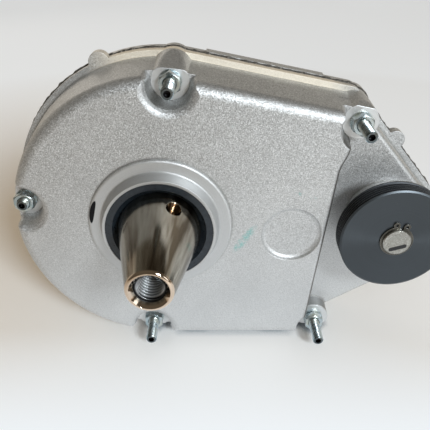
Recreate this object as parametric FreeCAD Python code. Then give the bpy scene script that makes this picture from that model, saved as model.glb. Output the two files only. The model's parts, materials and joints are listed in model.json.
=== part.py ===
import FreeCAD, Part
import math
import os

# Two stage gear reducer of a mixer: belt pulley in, tapered shaft out.
# Lengths are millimetres, +Z is up and the output shaft points along -Y.
# The origin is on the output axis, in the plane of the case front.

V = FreeCAD.Vector
os.makedirs("parts", exist_ok=True)

# Further than any piece reaches
far = 400.0

# Gear train
pressure_angle = math.radians(20.0)
fast_module = 2.0
fast_pinion_teeth = 13
fast_wheel_teeth = 56
fast_shift = 0.40
fast_face = 16.0
slow_module = 2.5
slow_pinion_teeth = 12
slow_wheel_teeth = 60
slow_shift = 0.45
slow_face = 22.0
pinion_overlap = 1.0
tooth_backlash = 0.24
tooth_root_gap = 0.25
flank_steps = 3
intermediate_drop = 9.0
input_rise = 2.0

# Fits
lip_clearance = 0.05
shield_clearance = 0.08
bolt_clearance = 0.4
washer_clearance = 0.3
head_clearance = 1.5
wheel_clearance = 3.8

# Case outline, measured at the case front
case_radius = 99.5
upper_corner = (128.0, 72.9)
upper_corner_radius = 2.5
end_drop = 14.9
end_radius = 41.0
lower_corner_x = 110.1
lower_corner_radius = 3.0
hollow_inset = (6.0, 6.9)
hollow_corner_radius = 8.0
case_draft = math.tan(math.radians(4.0))
case_wall = 5.0
front_edge_radius = 8.0
step_edge_radius = 3.5
ledge_depth = 27.0
case_depth = 50.0
flange_thickness = 7.0
flange_reach = 7.0
step_foot = (104.5, -97.0)
step_bend = (117.6, 36.0)
step_middle = ((120.0, 44.8), (122.5, 51.0))
step_head = (123.5, 58.0)
step_lean = 0.06
step_draft = 0.09

# Case fastening
stud_inset = 5.1
stud_angles = (84.3, 172.7, 263.4)
upper_stud_offset = (2.9, -5.6)
lower_stud_offset = (4.5, 4.1)
bolt_radius = 4.0
thread_crest = 0.2
bolt_chamfer = 0.8
bolt_dimple_radius = 2.1
bolt_dimple_depth = 4.0
bolt_dimple_point = 1.0
bolt_tip_y = -12.0
short_bolt_tip_y = 4.0
bolt_head_height = 5.3
hex_across_flats = 13.0
nut_height = 6.5
nut_chamfer = 0.5
washer_radius = 7.4
washer_thickness = 1.5
column_radius = 11.7
column_rise = 2.6
column_end_rise = 9.0
column_corner = 4.0
rim_column_foot = 13.6
corner_column_foot = 12.6
seat_depth = 15.5
bowl_floor_radius = 12.1
bowl_floor_round = 1.2
bowl_floor_rise = 0.5
rim_bowl_radius = 13.2
rim_bowl_lip = 7.0
corner_bowl_radius = 15.0
corner_bowl_lip = 2.0
bowl_lip_start = 0.3
bowl_lip_angles = (55.0, 35.0, 16.0)
flare_radius = 4.4
step_flare_radius = 1.5
flare_reach = 60.0
wall_margin = 0.06
lug_angle = 111.9
lug_overhang = -0.7
lug_place_on_slope = 0.505
lug_radius = 7.0
dowel_inset = 4.4
dowel_radius = 2.5
dowel_length = 13.0

# Rear cover
gasket_thickness = 0.8
gasket_proud = 0.5
rear_flange = 9.0
rear_case_radius = 83.0
rear_end_radius = 33.0
rear_draft = math.tan(math.radians(3.0))
rear_lobe_radius = 13.6
rear_edge_radius = 5.0
rib_width = 7.0
rib_height = 5.0
strip_start = 10.0
strip_length = 82.0
strip_proud = 1.2
output_pad = 10.5
intermediate_pad = 6.0
input_pad = 5.0
foot_width = 18.0
foot_places = (12.0, 74.0)
foot_front = 16.0

# Output hub, seal and shaft
hub_base_width = 8.5
hub_base_edge = 1.5
hub_step_y = -2.6
hub_taper = 2.1
hub_rim_wall = 1.9
hub_rim_y = -10.9
output_seal_radius = 36.0
output_seal_width = 10.0
seal_recess = 0.5
collar_radius = 27.5
taper_base_y = -11.5
tip_y = -74.2
tip_radius = 13.9
tip_round = 1.6
thread_radius = 9.0
thread_depth = 38.0
thread_point = 4.0
mouth_slope = 1.15
dimple_radius = 5.4
dimple_depth = 5.0
dimple_y = -20.5
dimple_angle = math.radians(64.0)
wheel_seat_radius = 24.0
wheel_hub_wall = 9.0
wheel_rim_wall = 6.5
wheel_spigot_wall = 4.5
spigot_height = 1.0
web_inset = 0.32
output_key_width = 14.0
output_key_height = 9.0
key_inset = 2.0
spacer_wall = 3.5
output_stickout = 4.0
shaft_end_gap = 1.0
shaft_chamfer = 0.6

# Rolling bearings
output_front_bore = 50.0
output_front_outside = 80.0
output_front_width = 16.0
output_rear_bore = 40.0
output_rear_outside = 68.0
output_rear_width = 15.0
intermediate_bore = 20.0
intermediate_outside = 42.0
intermediate_width = 12.0
input_front_bore = 20.0
input_front_outside = 42.0
input_front_width = 12.0
input_rear_bore = 17.0
input_rear_outside = 40.0
input_rear_width = 12.0
shield_thickness = 1.0
boss_wall = 5.5
boss_proud = 0.5
boss_draft = 0.05

# Gaps along the shafts
output_seal_gap = 1.9
wheel_offset = 5.0
wheel_hub_end = 2.0
wheel_gap = 8.0
intermediate_hub_end = 3.0
clip_gap = 1.3
recess_floor = 3.4
bearing_relief = 1.5
seat_lip = 5.0
input_seal_gap = 0.5
output_bearing_inset = 14.5
intermediate_bearing_inset = 11.0
input_bearing_inset = 12.0

# Intermediate seat mark, input boss and pulley
recess_radius = 21.0
recess_depth = 2.6
intermediate_seat_radius = 12.5
intermediate_shoulder = 2.0
intermediate_hub_wall = 9.5
intermediate_rim_wall = 5.0
intermediate_spigot_wall = 5.5
intermediate_key_width = 8.0
intermediate_key_height = 7.0
input_boss_radius = 25.4
input_boss_y = 8.0
input_seal_radius = 20.0
input_seal_width = 7.0
pulley_gap = 3.0
pulley_hub_proud = 0.9
pulley_radius = 37.5
pulley_web = 5.9
pulley_rim_wall = 6.5
pulley_hub_wall = 7.5
pulley_edge = 1.15
pulley_bevel = 1.3
pulley_bevel_depth = 0.8
pulley_rib_count = 5
pulley_rib_pitch = 2.34
pulley_rib_depth = 2.1
pulley_bore_radius = 9.5
pulley_key_width = 6.0
pulley_key_height = 6.0
pulley_key_inset = 3.9
shaft_stickout = 3.0
shaft_collar = 2.5
shaft_collar_width = 3.0
clip_thickness = 1.2
clip_width = 1.6
clip_groove = 0.6
clip_gap_half = 1.3
clip_ear_radius = 2.2
clip_ear_hole = 0.9
clip_turn = 10.0
inner_clip_width = 2.4
inner_clip_groove = 1.0

# Bearings as bore, outside diameter and width
output_front_bearing = (output_front_bore, output_front_outside, output_front_width)
output_rear_bearing = (output_rear_bore, output_rear_outside, output_rear_width)
intermediate_bearing = (intermediate_bore, intermediate_outside, intermediate_width)
input_front_bearing = (input_front_bore, input_front_outside, input_front_width)
input_rear_bearing = (input_rear_bore, input_rear_outside, input_rear_width)

# Axes and pitch radii that follow from the gears
slow_centres = slow_module * (slow_pinion_teeth + slow_wheel_teeth) / 2
fast_centres = fast_module * (fast_pinion_teeth + fast_wheel_teeth) / 2
output_axis = (0.0, 0.0)
intermediate_axis = (math.sqrt(slow_centres ** 2 - intermediate_drop ** 2), -intermediate_drop)
input_axis = (
    intermediate_axis[0] + math.sqrt(fast_centres ** 2 - input_rise ** 2),
    intermediate_axis[1] + input_rise,
)

# Places along the shafts, each from the piece in front of it
output_front_y = hub_rim_y + seal_recess + output_seal_width + output_seal_gap
slow_wheel_y = output_front_y + output_front_bearing[2] + wheel_offset
wheel_hub_end_y = slow_wheel_y + slow_face + wheel_hub_end
fast_wheel_y = slow_wheel_y + slow_face + wheel_gap
intermediate_front_y = recess_depth + recess_floor + bearing_relief
intermediate_hub_y = fast_wheel_y - intermediate_hub_end
intermediate_hub_end_y = fast_wheel_y + fast_face + intermediate_hub_end
intermediate_rear_y = intermediate_hub_end_y + clip_thickness + clip_gap
rear_wall_y = intermediate_rear_y + intermediate_bearing_inset
output_rear_y = rear_wall_y - output_bearing_inset
output_end_y = output_rear_y + output_rear_bearing[2] + output_stickout
input_front_y = input_boss_y + seal_recess + input_seal_width + input_seal_gap
input_rear_y = rear_wall_y - input_bearing_inset
pulley_back_y = input_boss_y - pulley_gap
pulley_rim_back_y = pulley_back_y - pulley_hub_proud
pulley_front_y = pulley_rim_back_y - 2 * pulley_edge - pulley_rib_count * pulley_rib_pitch

# Radii and studs that follow from other sizes
hub_rim_radius = output_seal_radius + hub_rim_wall
hub_step_radius = hub_rim_radius + hub_taper
hub_base_radius = hub_step_radius + hub_base_width
underside = -case_radius - flange_reach
hex_corner_radius = hex_across_flats / 2 / math.cos(math.radians(30))
stud_line = case_radius - stud_inset
studs = [
    (stud_line * math.cos(math.radians(a)), stud_line * math.sin(math.radians(a)))
    for a in stud_angles
]
studs.append((upper_corner[0] + upper_stud_offset[0], upper_corner[1] + upper_stud_offset[1]))
studs.append((lower_corner_x + lower_stud_offset[0], lower_stud_offset[1] - case_radius))
short_stud = 1
in_rim = [number < len(stud_angles) for number in range(len(studs))]
front_lobes = [rim_column_foot if rim else corner_column_foot for rim in in_rim]
rear_lobes = [rear_lobe_radius] * len(studs)

case_circles = (
    (0.0, 0.0, case_radius),
    upper_corner + (upper_corner_radius,),
    (input_axis[0], input_axis[1] - end_drop, end_radius),
    (lower_corner_x, lower_corner_radius - case_radius, lower_corner_radius),
)
hollow_circles = (
    case_circles[0],
    (upper_corner[0] - hollow_inset[0], upper_corner[1] - hollow_inset[1], hollow_corner_radius),
    case_circles[2],
    (lower_corner_x - hollow_inset[0], hollow_corner_radius - case_radius, hollow_corner_radius),
)
rear_middle_radius = fast_module * (fast_wheel_teeth / 2 - fast_shift + 1) + wheel_clearance + case_wall
rear_circles = (
    (0.0, 0.0, rear_case_radius),
    intermediate_axis + (rear_middle_radius,),
    input_axis + (rear_end_radius,),
    intermediate_axis + (rear_middle_radius,),
)


# Basic shapes, all with their axis along Y
def at(point, y):
    return V(point[0], y, point[1])


def rod(axis, y0, y1, radius, end_radius=None):
    if end_radius is None or abs(end_radius - radius) < 1e-6:
        return Part.makeCylinder(radius, y1 - y0, at(axis, y0), V(0, 1, 0))
    return Part.makeCone(radius, end_radius, y1 - y0, at(axis, y0), V(0, 1, 0))


def pipe(axis, y0, y1, outer, inner):
    return rod(axis, y0, y1, outer).cut(rod(axis, y0, y1, inner))


def lathe(axis, path):
    """Turn a closed (radius, y) path; four numbers are the middle and end of an arc."""
    def place(r, y):
        return V(axis[0] + r, y, axis[1])

    edges = []
    last = place(*path[0])
    for step in list(path[1:]) + [path[0]]:
        end = place(*step[-2:])
        if end.isEqual(last, 1e-6):
            continue
        if len(step) == 4:
            edges.append(Part.Arc(last, place(*step[:2]), end).toShape())
        else:
            edges.append(Part.makeLine(last, end))
        last = end
    face = Part.Face(Part.Wire(edges))
    return face.revolve(at(axis, 0), V(0, 1, 0), 360)


def box(x0, x1, y0, y1, z0, z1):
    return Part.makeBox(x1 - x0, y1 - y0, z1 - z0, V(x0, y0, z0))


def hexagon(axis, y0, y1, radius):
    corners = []
    for k in range(7):
        a = math.radians(60 * k + 30)
        corners.append(V(axis[0] + radius * math.cos(a), y0, axis[1] + radius * math.sin(a)))
    return Part.Face(Part.makePolygon(corners)).extrude(V(0, y1 - y0, 0))


def fuse_all(shapes):
    return shapes[0].multiFuse(shapes[1:]).removeSplitter() if len(shapes) > 1 else shapes[0]


def rounded(shape, radius, chosen):
    """Round the chosen edges, with a smaller radius if the full one cannot be made."""
    for share in (1.0, 0.75, 0.5):
        edges = [e for e in shape.Edges if chosen(e)]
        try:
            result = shape.makeFillet(radius * share, edges)
            if result.isValid() and result.Volume > 0:
                return result
        except Exception:
            continue
    return shape


# Outlines made of circles joined by their outer tangents
def tangent(first, second, grow):
    """Points where the outer tangent leaves the first circle and meets the second."""
    x1, z1, r1 = first[0], first[1], first[2] + grow
    x2, z2, r2 = second[0], second[1], second[2] + grow
    span = math.hypot(x2 - x1, z2 - z1)
    angle = math.atan2(z2 - z1, x2 - x1) + math.acos((r1 - r2) / span)
    nx, nz = math.cos(angle), math.sin(angle)
    return (x1 + r1 * nx, z1 + r1 * nz), (x2 + r2 * nx, z2 + r2 * nz)


def belt(circles, grow, y):
    count = len(circles)
    lines = [tangent(circles[k], circles[(k + 1) % count], grow) for k in range(count)]
    edges = []
    for k in range(count):
        cx, cz, r = circles[k]
        start, end = lines[k - 1][1], lines[k][0]
        a0 = math.atan2(start[1] - cz, start[0] - cx)
        a1 = math.atan2(end[1] - cz, end[0] - cx)
        if a1 > a0:
            a1 -= 2 * math.pi
        mid = (a0 + a1) / 2
        middle = (cx + (r + grow) * math.cos(mid), cz + (r + grow) * math.sin(mid))
        edges.append(Part.Arc(at(start, y), at(middle, y), at(end, y)).toShape())
        edges.append(Part.makeLine(at(end, y), at(lines[k][1], y)))
    return Part.Wire(edges)


def slab(circles, grow, y0, y1):
    return Part.Face(belt(circles, grow, y0)).extrude(V(0, y1 - y0, 0))


def drafted(circles, grow0, y0, grow1, y1):
    return Part.makeLoft([belt(circles, grow0, y0), belt(circles, grow1, y1)], True, True)


# The raised part of the front: the round end and its two straight sides
def raised_wire(grow, y, reach):
    top_start, top_end = tangent(case_circles[0], case_circles[1], grow)
    slope = (top_end[1] - top_start[1]) / (top_end[0] - top_start[0])
    far_top = (reach, top_start[1] + slope * (reach - top_start[0]))
    bottom = (0.0, -case_radius - grow)
    left = (-case_radius - grow, 0.0)
    return Part.Wire([
        Part.Arc(at(bottom, y), at(left, y), at(top_start, y)).toShape(),
        Part.makeLine(at(top_start, y), at(far_top, y)),
        Part.makeLine(at(far_top, y), at((reach, bottom[1]), y)),
        Part.makeLine(at((reach, bottom[1]), y), at(bottom, y)),
    ])


def step_wire(shift, y):
    points = [at((p[0] + shift, p[1]), y) for p in (step_foot, step_bend) + step_middle + (step_head,)]
    slope = (step_bend[0] - step_foot[0]) / (step_bend[1] - step_foot[1])
    low = (step_foot[0] + shift - slope * (far + step_foot[1]), -far)
    high = (step_head[0] + shift + step_lean * (far - step_head[1]), far)
    curve = Part.BSplineCurve()
    curve.interpolate(points[1:], InitialTangent=V(slope, 0, 1), FinalTangent=V(step_lean, 0, 1))
    return Part.Wire([
        Part.makeLine(at(low, y), points[1]),
        curve.toShape(),
        Part.makeLine(points[-1], at(high, y)),
        Part.makeLine(at(high, y), at((far, far), y)),
        Part.makeLine(at((far, far), y), at((far, -far), y)),
        Part.makeLine(at((far, -far), y), at(low, y)),
    ])


def beyond_step(shift0, y0, shift1, y1):
    return Part.makeLoft([step_wire(shift0, y0), step_wire(shift1, y1)], True, True)


def on_front(edge):
    box_ = edge.BoundBox
    return abs(box_.YMin) < 1e-4 and abs(box_.YMax) < 1e-4


# Two places by the flange edge: one on its round end, one on its slope towards the input end
def edge_places(overhang):
    ring = case_radius + flange_reach + overhang
    angle = math.radians(lug_angle)
    start, end = tangent(case_circles[1], case_circles[2], flange_reach + overhang)
    t = lug_place_on_slope
    on_slope = (start[0] + t * (end[0] - start[0]), start[1] + t * (end[1] - start[1]))
    return [(ring * math.cos(angle), ring * math.sin(angle)), on_slope]


lug_places = edge_places(lug_overhang)
dowel_places = edge_places(-dowel_inset)


def flange_plan(grow, y0, y1, lobes):
    parts = [slab(case_circles, flange_reach + grow, y0, y1)]
    parts += [rod(s, y0, y1, r + grow) for s, r in zip(studs, lobes)]
    return fuse_all(parts)


def below_underside():
    return box(-far, far, 0.0, far, underside - far, underside)


# Bearing seats and the bosses that hold them
def seat(axis, bearing, y, back):
    return rod(axis, y, back, bearing[1] / 2)


def boss(axis, bearing, y0, y1):
    return rod(axis, y0, y1, bearing[1] / 2 + boss_wall)


# Bowls in the front: each has a flat floor and flares out to the walls it opens through
def rim_wall(grow):
    def measure(x, z):
        r = math.hypot(x, z)
        return case_radius + grow - r, (x / r, z / r)

    return measure


def flat_wall(first, second, grow):
    """Wall through two points, with the case on the left of the way from first to second."""
    length = math.hypot(second[0] - first[0], second[1] - first[1])
    normal = ((second[1] - first[1]) / length, (first[0] - second[0]) / length)

    def measure(x, z):
        return grow - (x - first[0]) * normal[0] - (z - first[1]) * normal[1], normal

    return measure


def bowl_walls(grow):
    """For each stud the walls, with their flares, counter-clockwise and clockwise from its inner side."""
    top_start, top_end = tangent(case_circles[0], case_circles[1], 0.0)
    rim = (rim_wall(grow), flare_radius)
    top = (flat_wall(top_end, top_start, grow), flare_radius)
    bottom = (flat_wall((0.0, -case_radius), (lower_corner_x, -case_radius), grow), flare_radius)
    above_head = (step_head[0] + step_lean, step_head[1] + 1.0)
    upper_step = (flat_wall(step_head, above_head, wall_margin), step_flare_radius)
    lower_step = (flat_wall(step_foot, step_bend, wall_margin), step_flare_radius)
    return [(top, rim), (rim, rim), (rim, bottom), (upper_step, top), (bottom, lower_step)]


def flare(stud, wall, arc_radius, radius, turn):
    """Points of the arc that leads from the bowl to a wall, and the wall's normal there."""
    inner = math.atan2(-stud[1], -stud[0])
    reach = radius + arc_radius
    low, high = 0.0, math.pi
    while high - low > 1e-9:
        middle = (low + high) / 2
        a = inner + turn * middle
        centre = (stud[0] + reach * math.cos(a), stud[1] + reach * math.sin(a))
        inside, normal = wall(*centre)
        low, high = (middle, high) if inside > arc_radius else (low, middle)
    back = ((stud[0] - centre[0]) / reach, (stud[1] - centre[1]) / reach)
    half = (back[0] + normal[0], back[1] + normal[1])
    size = math.hypot(*half)
    ways = (back, (half[0] / size, half[1] / size), normal)
    points = [(centre[0] + arc_radius * w[0], centre[1] + arc_radius * w[1]) for w in ways]
    return points, normal


def bowl_plan(stud, walls, radius, y):
    first, first_way = flare(stud, *walls[0], radius, 1)
    second, second_way = flare(stud, *walls[1], radius, -1)
    length = math.hypot(*stud)
    inner = (stud[0] * (1 - radius / length), stud[1] * (1 - radius / length))
    first_end = (first[2][0] + flare_reach * first_way[0], first[2][1] + flare_reach * first_way[1])
    second_end = (second[2][0] + flare_reach * second_way[0], second[2][1] + flare_reach * second_way[1])
    return Part.Wire([
        Part.Arc(at(second[2], y), at(second[1], y), at(second[0], y)).toShape(),
        Part.Arc(at(second[0], y), at(inner, y), at(first[0], y)).toShape(),
        Part.Arc(at(first[0], y), at(first[1], y), at(first[2], y)).toShape(),
        Part.makeLine(at(first[2], y), at(first_end, y)),
        Part.makeLine(at(first_end, y), at(second_end, y)),
        Part.makeLine(at(second_end, y), at(second[2], y)),
    ])


def seat_bowl(number):
    """Bowl from its floor up to a rounded lip, as plans at a row of depths."""
    rim = in_rim[number]
    radius, lip = (rim_bowl_radius, rim_bowl_lip) if rim else (corner_bowl_radius, corner_bowl_lip)
    levels = [
        (seat_depth, bowl_floor_radius),
        (seat_depth - bowl_floor_round, bowl_floor_radius + bowl_floor_rise),
        (lip, radius),
    ]
    for angle in bowl_lip_angles:
        a = math.radians(angle)
        levels.append((lip * (1 - math.cos(a)), radius + lip * (1 - math.sin(a))))
    y, widest = levels[-1]
    levels.append((-bowl_lip_start, widest + (y + bowl_lip_start) / math.tan(a)))
    plans = []
    for y, r in levels:
        walls = bowl_walls(max(y, 0.0) * case_draft + wall_margin)[number]
        plans.append(bowl_plan(studs[number], walls, r, y))
    return Part.makeLoft(plans, True, True)


def make_column(stud, foot, end_y):
    """Column under a bowl, level with the case outline on its outer side and soft at its corners there."""
    reach = step_head[0] + case_depth
    outer = [raised_wire(column_rise, seat_depth, reach), raised_wire(column_end_rise, end_y, reach)]
    column = rod(stud, seat_depth, end_y, column_radius, foot)
    column.rotate(at(stud, 0.0), V(0, 1, 0), 90 - math.degrees(math.atan2(stud[1], stud[0])))
    column = column.common(Part.makeLoft(outer, True, True))
    length = end_y - seat_depth
    return rounded(column, column_corner, lambda e: length / 2 < e.BoundBox.YLength < length + 1)


def make_front_cover():
    grow = case_depth * case_draft
    reach = step_head[0] + case_depth
    raised = Part.makeLoft([raised_wire(0.0, 0.0, reach), raised_wire(grow, case_depth, reach)], True, True)
    raised = rounded(raised, front_edge_radius, lambda e: on_front(e) and e.CenterOfMass.x < reach - 1)
    raised = raised.cut(beyond_step(-step_draft, -1.0, ledge_depth * step_draft, ledge_depth))
    raised = raised.cut(box(step_bend[0], far, ledge_depth, far, -far, far))
    raised = rounded(raised, step_edge_radius, lambda e: on_front(e) and e.CenterOfMass.x > step_foot[0])
    for number in range(len(studs)):
        raised = raised.cut(seat_bowl(number))
    ledge = drafted(case_circles, ledge_depth * case_draft, ledge_depth, grow, case_depth)
    ledge = rounded(ledge, step_edge_radius, lambda e: e.BoundBox.YMax < ledge_depth + 1e-4)
    ledge = ledge.common(box(step_foot[0] / 2, far, 0.0, far, -far, far))
    flange_y = case_depth - flange_thickness
    flange = flange_plan(0.0, flange_y, case_depth, front_lobes)
    lugs = [rod(p, flange_y, case_depth, lug_radius) for p in lug_places]
    columns = [make_column(s, r, flange_y) for s, r in zip(studs, front_lobes)]
    feet = [
        box(x, x + foot_width, foot_front, case_depth, underside, case_wall - case_radius)
        for x in foot_places
    ]
    hub = lathe(output_axis, [
        (0.0, case_wall / 2),
        (hub_base_radius, case_wall / 2),
        (hub_base_radius, hub_step_y + hub_base_edge),
        (hub_base_radius - 0.3 * hub_base_edge, hub_step_y + 0.3 * hub_base_edge),
        (hub_base_radius - hub_base_edge, hub_step_y),
        (hub_step_radius + 0.5 * hub_base_edge, hub_step_y),
        (hub_step_radius - 0.1 * hub_taper, hub_step_y - 0.6 * hub_base_edge),
        (hub_rim_radius, hub_rim_y),
        (0.0, hub_rim_y),
    ])
    boss_foot = input_boss_radius + (ledge_depth + 1 - input_boss_y) * boss_draft
    input_boss = rod(input_axis, input_boss_y, ledge_depth + 1, input_boss_radius, boss_foot)
    cover = fuse_all([raised, ledge, flange, hub, input_boss] + columns + lugs + feet)

    hollow = drafted(hollow_circles, -case_wall, case_wall, grow - case_wall, case_depth)
    step_end = ledge_depth + case_wall
    hollow = hollow.cut(beyond_step(-case_wall, 0.0, step_end * step_draft - case_wall, step_end))
    keep = [rod(s, 0.0, case_depth, column_radius) for s in studs]
    keep += [rod(s, 0.0, seat_depth + case_wall, corner_bowl_radius + case_wall) for s in studs]
    for axis, bearing, y in (
        (output_axis, output_front_bearing, output_front_y),
        (intermediate_axis, intermediate_bearing, intermediate_front_y),
    ):
        keep.append(boss(axis, bearing, 0.0, y + bearing[2] + boss_proud))
    hollow = hollow.cut(fuse_all(keep))
    cuts = [hollow]
    cuts.append(below_underside())
    cuts += [rod(s, 0.0, case_depth, bolt_radius + bolt_clearance) for s in studs]
    cuts.append(rod(output_axis, hub_rim_y - 1, output_front_y + 1, output_seal_radius))
    cuts.append(seat(output_axis, output_front_bearing, output_front_y, case_depth))
    cuts.append(seat(intermediate_axis, intermediate_bearing, intermediate_front_y, case_depth))
    relief_radius = intermediate_bearing[1] / 2 - seat_lip
    cuts.append(rod(
        intermediate_axis, intermediate_front_y - bearing_relief, intermediate_front_y + 1, relief_radius))
    cuts.append(rod(input_axis, input_boss_y - 1, input_front_y + 1, input_seal_radius))
    cuts.append(seat(input_axis, input_front_bearing, input_front_y, case_depth))
    cuts.append(lathe(intermediate_axis, [
        (0.0, recess_depth),
        (recess_radius - 3.0, recess_depth),
        (recess_radius - 1.2, recess_depth - 0.9),
        (recess_radius - 0.4, 0.6),
        (recess_radius + 0.4, -1.0),
        (0.0, -1.0),
    ]))
    dowel_y = case_depth - dowel_length / 2
    cuts += [rod(d, dowel_y, case_depth + 1, dowel_radius) for d in dowel_places]
    for cut in cuts:
        cover = cover.cut(cut)
    return cover.removeSplitter()


def make_gasket(front_cover):
    land = front_cover.common(box(-far, far, case_depth - gasket_thickness, case_depth + 1, -far, far))
    land = land.translated(V(0, gasket_thickness, 0))
    y0, y1 = case_depth, case_depth + gasket_thickness
    edge = flange_plan(0.0, y0 - 1, y1 + 1, front_lobes)
    land = land.common(edge)
    lip = flange_plan(gasket_proud, y0, y1, front_lobes).cut(edge)
    return land.fuse(lip).cut(below_underside()).removeSplitter()


def make_rear_cover():
    y0 = case_depth + gasket_thickness
    y1 = y0 + rear_flange
    grow = (rear_wall_y - y0) * rear_draft
    body = drafted(rear_circles, grow, y0, 0.0, rear_wall_y)
    body = rounded(body, rear_edge_radius, lambda e: e.BoundBox.YMin > rear_wall_y - 1e-4)
    flange = flange_plan(0.0, y0, y1, rear_lobes)
    start, end = tangent(case_circles[0], case_circles[1], flange_reach)
    along = V(end[0] - start[0], 0, end[1] - start[1])
    strip = box(strip_start, strip_start + strip_length, y0, y1, -flange_reach, strip_proud)
    strip.rotate(V(0, 0, 0), V(0, 1, 0), -math.degrees(math.atan2(along.z, along.x)))
    strip.translate(at(start, 0.0))
    pads = [
        boss(output_axis, output_rear_bearing, y1, rear_wall_y + output_pad),
        boss(intermediate_axis, intermediate_bearing, y1, rear_wall_y + intermediate_pad),
        boss(input_axis, input_rear_bearing, y1, rear_wall_y + input_pad),
    ]
    ribs = []
    for first, second in ((output_axis, intermediate_axis), (intermediate_axis, input_axis)):
        length = math.hypot(second[0] - first[0], second[1] - first[1])
        rib = box(0.0, length, rear_wall_y - 1, rear_wall_y + rib_height, -rib_width / 2, rib_width / 2)
        turn = math.degrees(math.atan2(second[1] - first[1], second[0] - first[0]))
        rib.rotate(V(0, 0, 0), V(0, 1, 0), -turn)
        rib.translate(at(first, 0.0))
        ribs.append(rib)
    cover = fuse_all([body, flange, strip] + pads + ribs)

    inner_y = rear_wall_y - case_wall
    hollow = drafted(rear_circles, grow - case_wall, y0, -case_wall, inner_y)
    keep = fuse_all([
        boss(output_axis, output_rear_bearing, output_rear_y - boss_proud, inner_y + 1),
        boss(intermediate_axis, intermediate_bearing, intermediate_rear_y - boss_proud, inner_y + 1),
        boss(input_axis, input_rear_bearing, input_rear_y - boss_proud, inner_y + 1),
    ])
    cuts = [hollow.cut(keep)]
    for axis, bearing, y, relief in (
        (output_axis, output_rear_bearing, output_rear_y, output_stickout + shaft_end_gap),
        (intermediate_axis, intermediate_bearing, intermediate_rear_y, bearing_relief),
        (input_axis, input_rear_bearing, input_rear_y, bearing_relief),
    ):
        back = y + bearing[2]
        cuts.append(seat(axis, bearing, y - 2, back))
        cuts.append(rod(axis, back - 1, back + relief, bearing[1] / 2 - seat_lip))
    cuts += [rod(s, y0 - 1, y1 + 1, bolt_radius + bolt_clearance) for s in studs]
    cuts += [rod(s, y1, far, hex_corner_radius + head_clearance) for s in studs]
    dowel_end = case_depth + dowel_length / 2
    cuts += [rod(d, y0 - 1, dowel_end, dowel_radius) for d in dowel_places]
    cuts.append(below_underside())
    for cut in cuts:
        cover = cover.cut(cut)
    return cover.removeSplitter()


# Fasteners
def make_bolt(stud, tip, nut_y):
    """Hexagon bolt; the thread that stands out of its nut ends on flat crests."""
    crest = bolt_radius - thread_crest
    y1 = case_depth + gasket_thickness + rear_flange
    shank = lathe(stud, [
        (0.0, tip + bolt_dimple_depth),
        (bolt_dimple_radius, tip + bolt_dimple_depth - bolt_dimple_point),
        (bolt_dimple_radius, tip),
        (crest - bolt_chamfer, tip),
        (crest, tip + bolt_chamfer),
        (crest, nut_y),
        (bolt_radius, nut_y),
        (bolt_radius, y1),
        (0.0, y1),
    ])
    return shank.fuse(hexagon(stud, y1, y1 + bolt_head_height, hex_corner_radius)).removeSplitter()


def make_nut(stud, y0):
    limit = lathe(stud, [
        (bolt_radius, y0 + nut_chamfer),
        (bolt_radius + nut_chamfer, y0),
        (hex_across_flats / 2 - nut_chamfer / 2, y0),
        (hex_corner_radius + nut_chamfer / 2, y0 + nut_chamfer * 1.9),
        (hex_corner_radius + nut_chamfer / 2, y0 + nut_height),
        (bolt_radius, y0 + nut_height),
    ])
    return hexagon(stud, y0, y0 + nut_height, hex_corner_radius).common(limit)


# Bearings and seals
def make_bearing(axis, bearing, y):
    bore, outside, width = bearing[0] / 2, bearing[1] / 2, bearing[2]
    ring = 0.3 * (outside - bore)
    inner = pipe(axis, y, y + width, bore + ring, bore)
    lip = bore + ring + shield_clearance
    outer = lathe(axis, [
        (outside, y),
        (lip, y),
        (lip, y + shield_thickness),
        (outside - ring, y + shield_thickness),
        (outside - ring, y + width - shield_thickness),
        (lip, y + width - shield_thickness),
        (lip, y + width),
        (outside, y + width),
    ])
    return outer, inner


def make_seal(axis, y, width, outer, shaft):
    lip = shaft + lip_clearance
    inner_face = outer - 0.55 * (outer - lip)
    return lathe(axis, [
        (outer, y),
        (inner_face, y),
        (inner_face - 0.6, y + 0.9),
        (lip + 0.7, y + 0.36 * width),
        (lip, y + 0.45 * width),
        (lip + 1.2, y + 0.85 * width),
        (inner_face - 0.8, y + 0.5 * width),
        (outer - 1.6, y + 0.5 * width),
        (outer - 1.6, y + width),
        (outer, y + width),
    ])


# Gears
def involute(angle):
    return math.tan(angle) - angle


def gear_radii(module, teeth, shift):
    root = module * (teeth / 2 + shift - 1 - tooth_root_gap)
    return root, module * (teeth / 2 + shift + 1)


def gear_face(axis, y, module, teeth, shift, phase):
    """Outline of a spur gear with a tooth centred on the phase angle."""
    pitch = module * teeth / 2
    base = pitch * math.cos(pressure_angle)
    root, tip = gear_radii(module, teeth, shift)
    half = (math.pi / 2 + 2 * shift * math.tan(pressure_angle)) / teeth
    half += involute(pressure_angle) - tooth_backlash / 4 / pitch
    start = max(base, root)
    radii = [start + (tip - start) * k / flank_steps for k in range(flank_steps + 1)]
    flank = [(r, half - involute(math.acos(min(1.0, base / r)))) for r in radii]
    if root < base:
        flank.insert(0, (root, flank[0][1]))
    points = []
    for k in range(teeth):
        centre = phase + 2 * math.pi * k / teeth
        side = [(r, centre - a) for r, a in flank] + [(r, centre + a) for r, a in reversed(flank)]
        points += [at((axis[0] + r * math.cos(a), axis[1] + r * math.sin(a)), y) for r, a in side]
    return Part.Face(Part.makePolygon(points + points[:1]))


def mesh_angle(first, second):
    return math.atan2(second[1] - first[1], second[0] - first[0])


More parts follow.
